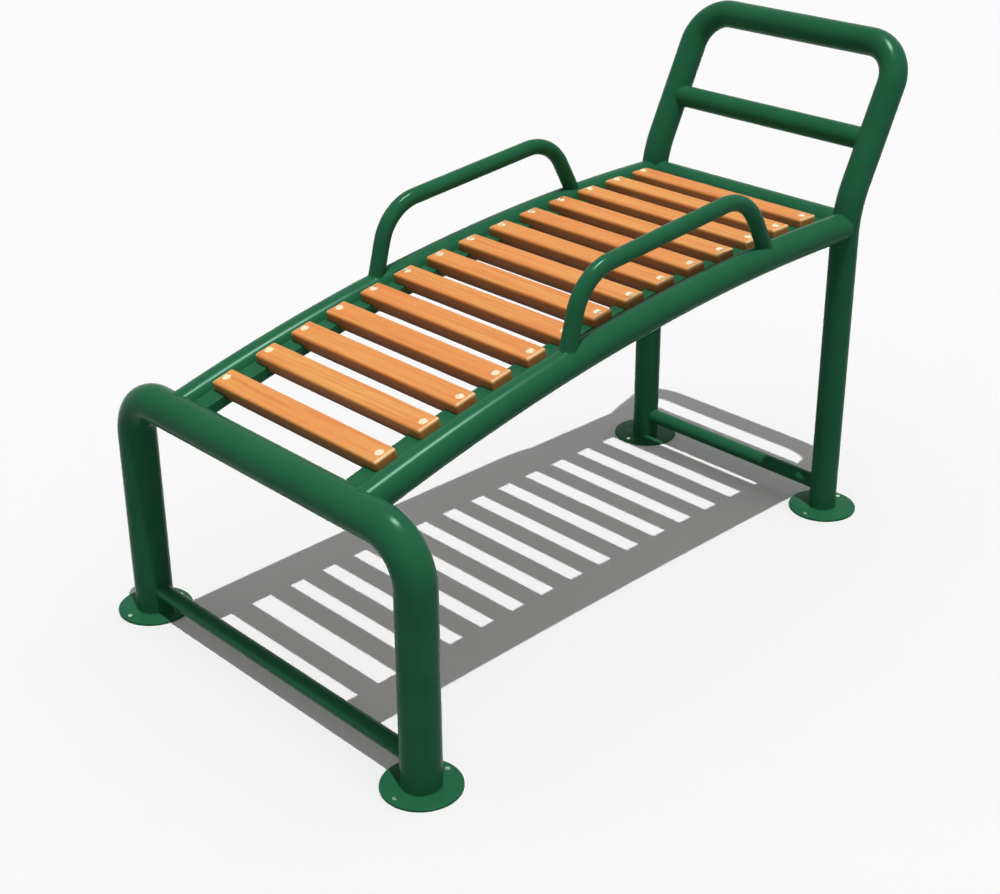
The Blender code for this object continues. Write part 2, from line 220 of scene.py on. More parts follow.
@dataclass(frozen=True)
class ShaderGroups:
    """The effects that more than one finish uses, each built once as a shader node group."""

    relief: bpy.types.NodeTree
    mottle: bpy.types.NodeTree

    CLOUD_DETAIL = 3.0
    CLOUD_ROUGHNESS = 0.55
    CLOUD_EDGES = (0.35, 0.65)

    @classmethod
    def build(cls) -> "ShaderGroups":
        """Build the groups."""
        return cls(relief=cls._relief(), mottle=cls._mottle())

    @staticmethod
    def _relief() -> bpy.types.NodeTree:
        """A fine bumpy height, stretched along any axis: orange peel, wood fibre or brushing.

        Returns:
            The group, with Vector, Stretch, Size and Detail in and Height out.
        """
        nodes, given = NodeTree.group(
            "fine_relief",
            "ShaderNodeTree",
            {"Height": "Float"},
            (
                ("Vector", "Vector", None),
                ("Stretch", "Vector", (1.0, 1.0, 1.0)),
                ("Size", "Float", 0.002),
                ("Detail", "Float", 1.0),
            ),
        )
        squeezed = nodes.vector_math("MULTIPLY", given["Vector"], given["Stretch"])
        scale = nodes.math("DIVIDE", 1.0, given["Size"])
        pattern = {"Vector": squeezed, "Scale": scale, "Detail": given["Detail"]}
        noise = nodes.add("ShaderNodeTexNoise", pattern)
        nodes.add("NodeGroupOutput", {"Height": noise.outputs["Fac"]})
        return nodes.tree

    @classmethod
    def _mottle(cls) -> bpy.types.NodeTree:
        """Soft cloudy change from one colour to another.

        Returns:
            The group, with Vector, Size, Colour, Other Colour and Amount in, Colour and Mask out.
        """
        nodes, given = NodeTree.group(
            "mottle",
            "ShaderNodeTree",
            {"Colour": "Color", "Mask": "Float"},
            (
                ("Vector", "Vector", None),
                ("Size", "Float", 0.1),
                ("Colour", "Color", (0.5, 0.5, 0.5, 1.0)),
                ("Other Colour", "Color", (0.4, 0.4, 0.4, 1.0)),
                ("Amount", "Float", 1.0),
            ),
        )
        scale = nodes.math("DIVIDE", 1.0, given["Size"])
        pattern = {"Scale": scale, "Detail": cls.CLOUD_DETAIL, "Roughness": cls.CLOUD_ROUGHNESS}
        noise = nodes.add("ShaderNodeTexNoise", {"Vector": given["Vector"], **pattern})
        clouds = nodes.ramp(noise.outputs["Fac"], cls.CLOUD_EDGES)
        mask = nodes.math("MULTIPLY", clouds, given["Amount"])
        colour = nodes.mixed(mask, given["Colour"], given["Other Colour"])
        nodes.add("NodeGroupOutput", {"Colour": colour, "Mask": mask})
        return nodes.tree

    def add_relief(
        self,
        nodes: NodeTree,
        place: NodeSocket,
        size: float,
        detail: float,
        stretch: tuple[float, float, float] = (1.0, 1.0, 1.0),
    ) -> Node:
        """Place the relief in a material.

        Args:
            nodes: The material's tree.
            place: The place on the surface.
            size: How far apart the bumps are.
            detail: How much finer the finest bumps are.
            stretch: How closely the pattern is followed along each axis.

        Returns:
            The node with the height.
        """
        inputs = {"Vector": place, "Stretch": stretch, "Size": size, "Detail": detail}
        return nodes.add("ShaderNodeGroup", inputs, node_tree=self.relief)

    def add_mottle(
        self, nodes: NodeTree, place: NodeSocket, size: float, colours: tuple[Colour, Colour], amount: float
    ) -> Node:
        """Place the mottle in a material.

        Args:
            nodes: The material's tree.
            place: The place on the surface.
            size: How wide the clouds are.
            colours: The colour between the clouds and the clouds' own.
            amount: How much of their own colour the clouds have.

        Returns:
            The node with the colour and the mask.
        """
        plain, cloud = colours
        inputs = {"Vector": place, "Size": size, "Colour": plain, "Other Colour": cloud, "Amount": amount}
        return nodes.add("ShaderNodeGroup", inputs, node_tree=self.mottle)


def new_material(name: str) -> tuple[Material, NodeTree, Node]:
    """Start a material.

    Args:
        name: The material's name.

    Returns:
        The material, its tree and its Principled shader.
    """
    material = bpy.data.materials.new(name)
    material.use_nodes = True
    return material, NodeTree(material.node_tree), material.node_tree.nodes["Principled BSDF"]


@dataclass(frozen=True)
class SteelFinish:
    """A finish of the steel pieces: two colours in soft clouds, a gloss to match and a fine relief."""

    name: str
    colour: Colour
    cloud_colour: Colour
    cloud_size: float
    cloud_amount: float
    roughness: Pair
    relief_size: float
    relief_detail: float
    relief_height: float
    metallic: float = 0.0
    specular: float = 0.5
    glint: Colour = (1.0, 1.0, 1.0)

    def material(self, groups: ShaderGroups) -> Material:
        """Build the finish's material.

        Args:
            groups: The shared shader effects.

        Returns:
            The material.
        """
        material, nodes, shader = new_material(self.name)
        place = nodes.add("ShaderNodeTexCoord").outputs["Object"]
        colours = (self.colour, self.cloud_colour)
        clouds = groups.add_mottle(nodes, place, self.cloud_size, colours, self.cloud_amount)
        relief = groups.add_relief(nodes, place, self.relief_size, self.relief_detail)
        nodes.fill(
            shader,
            {
                "Base Color": clouds.outputs["Colour"],
                "Roughness": nodes.spread(clouds.outputs["Mask"], self.roughness),
                "Normal": nodes.bumped(relief, self.relief_height),
                "Metallic": self.metallic,
                "Specular IOR Level": self.specular,
                "Specular Tint": self.glint,
            },
        )
        return material


@dataclass(frozen=True)
class PowderCoat(SteelFinish):
    """Glossy dark green powder coat, baked on the steel, with a faint orange peel."""

    name: str = "green_powder_coat_finish"
    colour: Colour = (0.0200, 0.130, 0.060)
    cloud_colour: Colour = (0.0230, 0.146, 0.068)
    cloud_size: float = 0.11
    cloud_amount: float = 0.8
    roughness: Pair = (0.19, 0.25)
    relief_size: float = 0.0022
    relief_detail: float = 1.0
    relief_height: float = 0.000012
    specular: float = 0.030
    glint: Colour = (0.50, 1.0, 0.76)


@dataclass(frozen=True)
class StainlessSteel(SteelFinish):
    """Bare stainless steel of the bolts, washers and nuts, satin from rolling."""

    name: str = "stainless_finish"
    colour: Colour = (1.00, 0.89, 0.61)
    cloud_colour: Colour = (0.92, 0.79, 0.53)
    cloud_size: float = 0.012
    cloud_amount: float = 0.6
    roughness: Pair = (0.24, 0.32)
    relief_size: float = 0.0006
    relief_detail: float = 2.0
    relief_height: float = 0.00001
    metallic: float = 1.0


@dataclass(frozen=True)
class DullZinc(StainlessSteel):
    """Dull zinc plating of the floor anchors."""

    name: str = "zinc_finish"
    colour: Colour = (0.56, 0.82, 0.55)
    cloud_colour: Colour = (0.48, 0.72, 0.48)
    roughness: Pair = (0.36, 0.46)


@dataclass(frozen=True)
class Hardwood:
    """Oiled orange-brown hardwood with straight fine grain along each slat."""

    name: str = "oiled_hardwood_finish"
    light: Colour = (0.88, 0.365, 0.102)
    golden: Colour = (0.87, 0.425, 0.115)
    dark: Colour = (0.78, 0.235, 0.055)
    deep: Colour = (0.58, 0.18, 0.050)
    # Painted shade on the board's sides below the upper face
    side: Colour = (0.40, 0.155, 0.058)
    # Deeper painted shade towards the board's underside
    foot: Colour = (0.17, 0.080, 0.040)
    # Painted highlight along the upper arris of the board's ends
    arris_highlight: Colour = (1.0, 0.76, 0.40)
    # The grain's pattern, stretched along the board
    stretch: float = 0.022
    streak_size: float = 0.0065
    streak_detail: float = 3.0
    streak_band: Pair = (0.42, 0.68)
    streak_strength: float = 0.75
    fibre_size: float = 0.0011
    fibre_detail: float = 2.0
    fibre_height: float = 0.00010
    pore_band: Pair = (0.55, 0.75)
    pore_strength: float = 0.6
    patch_size: float = 0.085
    patch_stretch: float = 0.28
    patch_amount: float = 0.9
    board_contrast: float = 0.34
    roughness: Pair = (0.45, 0.60)
    specular: float = 0.10
    # Heights in the board, and reaches to either side of its middle, at which the painted shade of the
    # sides and underside and the painted highlight of the end arrises set in
    side_shade_band: Pair = (0.0275, 0.0215)
    side_shade_strength: float = 0.85
    under_shade_band: Pair = (0.0190, 0.0040)
    under_shade_strength: float = 0.8
    end_band: Pair = (0.2362, 0.2390)
    end_relief: float = 0.45
    arris_band: Pair = (0.2345, 0.2368)
    arris_height: Pair = (0.0262, 0.0285)
    arris_highlight_least: float = 0.32
    arris_highlight_spread: float = 0.45

    def material(self, groups: ShaderGroups) -> Material:
        """Build the timber's material, which reads each board's own place and chance shift.

        Args:
            groups: The shared shader effects.

        Returns:
            The material.
        """
        material, nodes, shader = new_material(self.name)
        place, shift, tone = (
            nodes.add("ShaderNodeAttribute", attribute_name=name).outputs[output]
            for name, output in (("part_place", "Vector"), ("part_shift", "Vector"), ("part_tone", "Fac"))
        )
        own = nodes.vector_math("ADD", place, shift)
        along = (1.0, self.stretch, 1.0)
        streaks = groups.add_relief(nodes, own, self.streak_size, self.streak_detail, along)
        fibres = groups.add_relief(nodes, own, self.fibre_size, self.fibre_detail, along)
        drawn_out = nodes.vector_math("MULTIPLY", own, (1.0, self.patch_stretch, 1.0))
        ground = (self.light, self.golden)
        patches = groups.add_mottle(nodes, drawn_out, self.patch_size, ground, self.patch_amount)
        bands = nodes.ramp(streaks, self.streak_band, self.streak_strength)
        banded = nodes.mixed(bands, patches.outputs["Colour"], self.dark)
        pores = nodes.ramp(fibres, self.pore_band, self.pore_strength, "LINEAR")
        porous = nodes.mixed(pores, banded, self.deep)
        toned = nodes.mixed(nodes.math("MULTIPLY", tone, self.board_contrast), porous, self.dark)
        # The base colour carries painted shade on the sides and a painted highlight on the end arrises
        nodes.fill(
            shader,
            {
                "Base Color": self.painted_shade_and_highlight(nodes, place, patches.outputs["Mask"], toned),
                "Roughness": nodes.spread(fibres, self.roughness),
                "Normal": nodes.bumped(fibres, self.fibre_height),
                "Specular IOR Level": self.specular,
            },
        )
        return material

    def painted_shade_and_highlight(self, nodes: NodeTree, place: NodeSocket, patchy: NodeSocket, top: Node) -> Node:
        """Paint shade on the board's sides, deepening towards the underside, and a pale highlight on the
        upper arris of its ends.

        Args:
            nodes: The material's tree.
            place: The place in the board: along the seat, across it and up.
            patchy: A cloudy mask that breaks the painted highlight up.
            top: The colour of the upper face.

        Returns:
            The node with the colour.
        """
        axes = nodes.add("ShaderNodeSeparateXYZ", {0: place}).outputs
        height = axes["Z"]
        reach = nodes.math("ABSOLUTE", axes["Y"])
        eased = nodes.math("MULTIPLY", nodes.ramp(reach, self.end_band), self.end_relief)
        soften = nodes.math("SUBTRACT", 1.0, eased)
        colour = top
        # Painted shade: the sides darken below the upper face and deepen towards the underside, less near
        # the ends
        for band, strength, tint in (
            (self.side_shade_band, self.side_shade_strength, self.side),
            (self.under_shade_band, self.under_shade_strength, self.foot),
        ):
            amount = nodes.math("MULTIPLY", nodes.ramp(height, band), soften)
            colour = nodes.mixed(nodes.math("MULTIPLY", amount, strength), colour, tint)
        # Painted highlight: a pale line along the upper arris of each end, broken up by the cloudy mask
        at_end = nodes.ramp(reach, self.arris_band)
        on_arris = nodes.math("MULTIPLY", at_end, nodes.ramp(height, self.arris_height))
        arris_light = nodes.math("MULTIPLY_ADD", patchy, self.arris_highlight_spread, self.arris_highlight_least)
        return nodes.mixed(nodes.math("MULTIPLY", on_arris, arris_light), colour, self.arris_highlight)


def add_object(name: str, data: bpy.types.ID) -> Object:
    """Link a mesh, a lamp or a camera to the scene as an object at the origin."""
    data.name = name
    obj = bpy.data.objects.new(name, data)
    bpy.context.scene.collection.objects.link(obj)
    return obj


def made_plain(obj: Object) -> Mesh:
    """Evaluate the object into a plain mesh and remove it with its modifiers."""
    graph = bpy.context.evaluated_depsgraph_get()
    mesh = bpy.data.meshes.new_from_object(obj.evaluated_get(graph))
    bpy.data.objects.remove(obj)
    return mesh


def mesh_of(bm: bmesh.types.BMesh) -> Mesh:
    """A mesh of what was edited, which is freed: closed, with its faces turned outwards."""
    bmesh.ops.remove_doubles(bm, verts=bm.verts, dist=MERGE_DISTANCE)
    bmesh.ops.recalc_face_normals(bm, faces=bm.faces)
    mesh = bpy.data.meshes.new("shape")
    bm.to_mesh(mesh)
    bm.free()
    return mesh


def closed_up(mesh: Mesh) -> Mesh:
    """The mesh with its doubled points joined and its faces turned outwards, shaded smooth."""
    bm = bmesh.new()
    bm.from_mesh(mesh)
    tidy = mesh_of(bm)
    tidy.shade_smooth()
    tidy.set_sharp_from_angle(angle=SMOOTH_ANGLE)
    return tidy


def path_mesh(paths: Sequence[Sequence[Vector]], closed: bool = False) -> Mesh:
    """Edges along each path, for a node tree to follow.

    Args:
        paths: The points of each path.
        closed: Whether the last point of a path joins its first.

    Returns:
        A mesh of points and edges.
    """
    points: list[Vector] = []
    edges: list[tuple[int, int]] = []
    for path in paths:
        first = len(points)
        points.extend(path)
        last = len(points) - 1
        edges.extend((index, index + 1) for index in range(first, last))
        if closed:
            edges.append((last, first))
    mesh = bpy.data.meshes.new("path")
    mesh.from_pydata(points, edges, [])
    return mesh


def run_tree(mesh: Mesh, tree: bpy.types.NodeTree, values: Mapping[str, object]) -> Object:
    """Put a node tree on a mesh, its inputs set by the sockets' identifiers.

    Args:
        mesh: The mesh that the tree works on.
        tree: The Geometry Nodes tree.
        values: A value for each input, by its name.

    Returns:
        The mesh's object, with the tree as its modifier.
    """
    obj = add_object("part", mesh)
    modifier = obj.modifiers.new(tree.name, "NODES")
    modifier.node_group = tree
    for item in tree.interface.items_tree:
        if item.in_out == "INPUT" and item.name in values:
            modifier[item.identifier] = values[item.name]
    return obj


def shaped(body: Object, others: Sequence[Mesh], cut: Cut = Cut.TAKE_OUT) -> Mesh:
    """The plain mesh of a body combined with each of some other meshes in turn.

    Args:
        body: The object that is worked on, which is removed.
        others: The closed meshes that shape it.
        cut: What is done with each.

    Returns:
        The result.
    """
    helpers = [add_object("helper", other) for other in others]
    for helper in helpers:
        helper.hide_render = True
        modifier = body.modifiers.new("cut", "BOOLEAN")
        modifier.operation = cut.value
        modifier.solver = "EXACT"
        modifier.object = helper
    mesh = made_plain(body)
    for helper in helpers:
        bpy.data.objects.remove(helper)
    return mesh


def combined(mesh: Mesh, others: Sequence[Mesh], cut: Cut = Cut.TAKE_OUT) -> Mesh:
    """The mesh combined with each of the others in turn."""
    return shaped(add_object("body", mesh), others, cut)


def arc_points(
    centre: Pair, radius: float, quarters: Pair, steps: int, rise: float | None = None
) -> list[Pair]:
    """Points along a round or flattened arc.

    Args:
        centre: Its centre.
        radius: Its radius.
        quarters: How many quarter turns from the first axis it starts and stops.
        steps: How many stretches it has.
        rise: Its radius along the second axis, where that differs.

    Returns:
        The points.
    """
    start, stop = quarters
    height = radius if rise is None else rise
    angles = [math.pi / 2 * (start + (stop - start) * step / steps) for step in range(steps + 1)]
    first, second = centre
    return [(first + radius * math.cos(angle), second + height * math.sin(angle)) for angle in angles]


def turned_mesh(profile: Sequence[Pair], sides: int, ring: bool = False) -> Mesh:
    """A solid turned about z.

    Args:
        profile: The (radius, height) points, from axis to axis, or round a ring's section.
        sides: How many steps the turn has.
        ring: Whether the profile is closed and clear of the axis.

    Returns:
        The closed mesh.
    """
    bm = bmesh.new()
    points = [bm.verts.new((radius, 0, height)) for radius, height in profile]
    pairs = list(zip(points, points[1:]))
    if ring:
        pairs.append((points[-1], points[0]))
    line = [*points, *(bm.edges.new(pair) for pair in pairs)]
    bmesh.ops.spin(
        bm, geom=line, cent=(0, 0, 0), axis=(0, 0, 1), angle=math.tau, steps=sides, use_merge=True
    )
    return mesh_of(bm)


def block(centre: Vector, size: Sequence[float]) -> bmesh.types.BMesh:
    """A rectangular block, ready to be edited."""
    bm = bmesh.new()
    place = Matrix.Translation(centre) @ Matrix.Diagonal((*size, 1))
    bmesh.ops.create_cube(bm, size=1, matrix=place)
    return bm


def prism(place: Matrix, diameter: float, reach: float, sides: int) -> Mesh:
    """A straight bar of even sides: a drill for a hole or the blank of a nut.

    Args:
        place: Where its middle is, with z along it.
        diameter: Its diameter over the corners.
        reach: How far it goes to either side of its middle.
        sides: How many sides it has.

    Returns:
        The closed mesh.
    """
    bm = bmesh.new()
    radii = {"radius1": diameter / 2, "radius2": diameter / 2}
    bmesh.ops.create_cone(bm, cap_ends=True, segments=sides, depth=2 * reach, matrix=place, **radii)
    return mesh_of(bm)


def rounded_path(corners: Sequence[Vector], bends: Sequence[tuple[float, int]]) -> list[Vector]:
    """Points along straight runs joined by round bends.

    Args:
        corners: The path's ends and the corners between them.
        bends: A radius and a count of steps for each corner between the ends.

    Returns:
        The points.
    """
    path = [corners[0]]
    for before, corner, after, (radius, steps) in zip(corners, corners[1:], corners[2:], bends):
        back = (before - corner).normalized()
        ahead = (after - corner).normalized()
        half = back.angle(ahead) / 2
        centre = corner + (back + ahead).normalized() * radius / math.sin(half)
        start = corner + back * radius / math.tan(half) - centre
        turn = math.pi - 2 * half
        axis = start.cross(-back).normalized()
        for step in range(steps + 1):
            path.append(centre + Matrix.Rotation(turn * step / steps, 3, axis) @ start)
    path.append(corners[-1])
    return path


def lengthened(points: Sequence[Vector], extra: float) -> list[Vector]:
    """The path with both ends moved out along its own direction."""
    first = points[0] + (points[0] - points[1]).normalized() * extra
    last = points[-1] + (points[-1] - points[-2]).normalized() * extra
    return [first, *points[1:-1], last]


def supported(points: Sequence[Vector], inset: float) -> list[Vector]:
    """The path with one more point near each end, so that a cut end keeps its shading short.

    Args:
        points: The path.
        inset: How far from the ends the new points are.

    Returns:
        The path with the points that fit in its first and last stretches.
    """
    path = list(points)
    if (path[1] - path[0]).length > 2 * inset:
        path.insert(1, path[0] + (path[1] - path[0]).normalized() * inset)
    if (path[-2] - path[-1]).length > 2 * inset:
        path.insert(-1, path[-1] + (path[-2] - path[-1]).normalized() * inset)
    return path


def across(x: float, z: float, half: float) -> list[Vector]:
    """A straight path across the bench."""
    return [Vector((x, -half, z)), Vector((x, half, z))]


@dataclass(frozen=True)
class Pipe:
    """The stock of one steel tube: its outside diameter, its wall and how finely it is drawn."""

    diameter: float
    wall: float
    sides: int

    @property
    def radius(self) -> float:
        """Half the outside diameter."""
        return self.diameter / 2


@dataclass(frozen=True)
class SeatArc:
    """The arc that the rails' centrelines follow from the front bar to the rear legs."""

    radius: float
    centre: Vector

    def angle_at(self, x: float) -> float:
        """The angle along the arc at which it is at x."""
        return math.asin((x - self.centre.x) / self.radius)

    def place(self, angle: float, across_y: float = 0.0) -> Matrix:
        """The local frame there: x along the seat, y across it and z out of it."""
        lean = Matrix.Rotation(angle, 4, "Y")
        centre = Matrix.Translation(self.centre + Vector((0, across_y, 0)))
        return centre @ lean @ Matrix.Translation((0, 0, self.radius))


@dataclass(frozen=True)
class BenchPlan:
    """Sizes that the bench's sub-assemblies share. Places come from the frame, the rest are named."""

    front_pipe: Pipe = Pipe(0.0761, 0.0032, 64)
    rear_pipe: Pipe = Pipe(0.0603, 0.0032, 56)
    rail_pipe: Pipe = Pipe(0.0603, 0.0032, 56)
    foot_pipe: Pipe = Pipe(0.0483, 0.0032, 48)
    slim_pipe: Pipe = Pipe(0.0337, 0.0026, 40)
    frame_length: float = 1.340
    seat_arc_radius: float = 4.500
    seat_top_height: float = 0.6755
    seat_top_from_front: float = 1.270
    seat_steps: int = 56
    cope_setback: float = 0.010
    rear_cross_height: float = 0.675
    slat_above_rail: float = 0.0008
    slat_end_t: float = 0.019
    ledge_t: float = 0.003
    ledge_width: float = 0.038
    play: float = 0.0003
    slat_count: int = 14
    slat_pitch: float = 0.0893
    first_slat_extra: float = 0.015
    last_slat_from_rear_leg: float = 0.0885
    bolt_spacing: float = 0.4475
    plate_t: float = 0.005

    @property
    def front_x(self) -> float:
        """Where the front legs' axes stand."""
        low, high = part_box("front_hoop")
        return (low.x + high.x) / 2

    @property
    def front_y(self) -> float:
        """Half the distance between the front legs' axes."""
        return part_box("front_hoop")[1].y - self.front_pipe.radius

    @property
    def front_bar_z(self) -> float:
        """Height of the front cross bar's axis."""
        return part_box("front_hoop")[1].z - self.front_pipe.radius

    @property
    def rear_x(self) -> float:
        """Where the rear legs' axes stand."""
        return self.front_x + self.frame_length

    @property
    def rear_y(self) -> float:
        """Half the distance between the rear legs' axes, which the rails share."""
        low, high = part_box("floor_plate_rear_left")
        return (low.y + high.y) / 2

    @property
    def leg_foot_z(self) -> float:
        """Height of the legs' ends, on the plates."""
        return self.plate_t + self.play

    @property
    def arc(self) -> SeatArc:
        """The seat's arc."""
        x, z = self.front_x + self.seat_top_from_front, self.seat_top_height - self.seat_arc_radius
        return SeatArc(self.seat_arc_radius, Vector((x, 0, z)))

    @property
    def slat_top(self) -> float:
        """Height of the slats' upper faces above the arc, a little over the top of the rails."""
        return self.rail_pipe.radius + self.slat_above_rail

    @property
    def ledge_top(self) -> float:
        """Height of the ledges' upper faces above the arc."""
        return self.slat_top - self.slat_end_t - self.play

    @property
    def ledge_under(self) -> float:
        """Height of the undersides of the ledges' wide legs above the arc."""
        return self.ledge_top - self.ledge_t

    @property
    def ledge_inner_y(self) -> float:
        """How far from the bench's middle the ledges' inner faces are."""
        return self.rail_skin_y(self.ledge_under) - self.ledge_width

    def rail_skin_y(self, height: float) -> float:
        """How far from the bench's middle a rail's inner side is at a height above the arc."""
        return self.rear_y - math.sqrt(self.rail_pipe.radius**2 - height**2) - self.play

    def rail_path(self, side: int) -> list[Vector]:
        """The centreline of a rail, from the front bar's axis to just short of the rear leg's axis.

        Args:
            side: 1 for the left rail and -1 for the right one.

        Returns:
            The points.
        """
        start = self.arc.angle_at(self.front_x)
        end = self.arc.angle_at(self.rear_x - self.cope_setback)
        angles = [start + (end - start) * step / self.seat_steps for step in range(self.seat_steps + 1)]
        return [self.arc.place(angle, side * self.rear_y).translation for angle in angles]


class PipeBender:
    """Bends, walls and copes steel tubes. A Geometry Nodes tree sweeps them along their paths."""

    END_SUPPORT = 0.046

    def __init__(self) -> None:
        """Build the sweep's tree."""
        nodes, given = NodeTree.geometry(
            "swept_pipe", (("Radius", "Float", 0.03), ("Sides", "Int", 48), ("Closed Ends", "Bool", False))
        )
        line = nodes.add("GeometryNodeMeshToCurve", {"Mesh": given["Geometry"]})
        section = {"Resolution": given["Sides"], "Radius": given["Radius"]}
        circle = nodes.add("GeometryNodeCurvePrimitiveCircle", section)
        sweep = {"Curve": line, "Profile Curve": circle, "Fill Caps": given["Closed Ends"]}
        swept = nodes.add("GeometryNodeCurveToMesh", sweep)
        merged = nodes.add("GeometryNodeMergeByDistance", {"Geometry": swept, "Distance": MERGE_DISTANCE})
        self.tree = nodes.ended(merged, given["Material"])

    def bar(self, path: Sequence[Vector], pipe: Pipe) -> Mesh:
        """A solid bar in the place of a tube, to cope other tubes with.

        Args:
            path: Its centreline.
            pipe: The tube's stock.

        Returns:
            The closed mesh.
        """
        values = {"Radius": pipe.radius, "Sides": pipe.sides, "Closed Ends": True}
        return closed_up(made_plain(run_tree(path_mesh([path]), self.tree, values)))

    def tube(
        self, path: Sequence[Vector], pipe: Pipe, material: Material, neighbours: Sequence[Mesh]
    ) -> Mesh:
        """A hollow tube whose ends fit round its neighbours.

        Args:
            path: Its centreline.
            pipe: Its stock.
            material: Its finish.
            neighbours: Solid bars in the places of the tubes that it meets.

        Returns:
            The closed mesh.
        """
        line = path_mesh([supported(path, self.END_SUPPORT)])
        obj = run_tree(line, self.tree, {"Radius": pipe.radius, "Sides": pipe.sides, "Material": material})
        wall = obj.modifiers.new("wall", "SOLIDIFY")
        wall.thickness = pipe.wall
        wall.offset = -1
        return closed_up(shaped(obj, neighbours))


@dataclass
class Workshop:
    """What every sub-assembly is built with, and the pieces that it has finished in each slot."""

    plan: BenchPlan
    bender: PipeBender
    finishes: Mapping[Slot, Material]
    pieces: dict[Slot, dict[str, Object]] = field(default_factory=lambda: {slot: {} for slot in Slot})

    def finish(
        self, name: str, mesh: Mesh, slot: Slot, nodes: Sequence[str] = (), look: Material | None = None
    ) -> None:
        """Make a mesh a finished piece, which rides on the frame and stands for its solids.

        Args:
            name: The piece's name.
            mesh: Its mesh, in place.
            slot: Its finish.
            nodes: The solids that it replaces.
            look: A material to use in place of the slot's own.
        """
        mesh.materials.clear()
        mesh.materials.append(look or self.finishes[slot])
        piece = add_object(name, mesh)
        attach(piece, BODY)
        if nodes:
            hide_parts(*nodes)
        self.pieces[slot][name] = piece
        gap = 1000 * self._stand_off(mesh, nodes)
        LOG.info("%s: %d faces, %.2f mm off its solid", name, len(mesh.polygons), gap)

    def fit_tube(
        self, name: str, node: str, path: Sequence[Vector], pipe: Pipe, neighbours: Sequence[Mesh] = ()
    ) -> None:
        """Make and finish a painted tube.

        Args:
            name: The piece's name.
            node: The solid that it replaces.
            path: Its centreline.
            pipe: Its stock.
            neighbours: Solid bars in the places of the tubes that its ends fit round.
        """
        mesh = self.bender.tube(path, pipe, self.finishes[Slot.GREEN], neighbours)
        self.finish(name, mesh, Slot.GREEN, [node])

    def _stand_off(self, mesh: Mesh, nodes: Sequence[str]) -> float:
        """How far the mesh's box is from the box of the solids that it replaces."""
        if not nodes:
            return 0.0
        boxes = [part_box(node) for node in nodes]
        gaps = []
        for axis in range(3):
            places = [vertex.co[axis] for vertex in mesh.vertices]
            gaps.append(abs(min(places) - min(low[axis] for low, _ in boxes)))
            gaps.append(abs(max(places) - max(high[axis] for _, high in boxes)))
        return max(gaps)


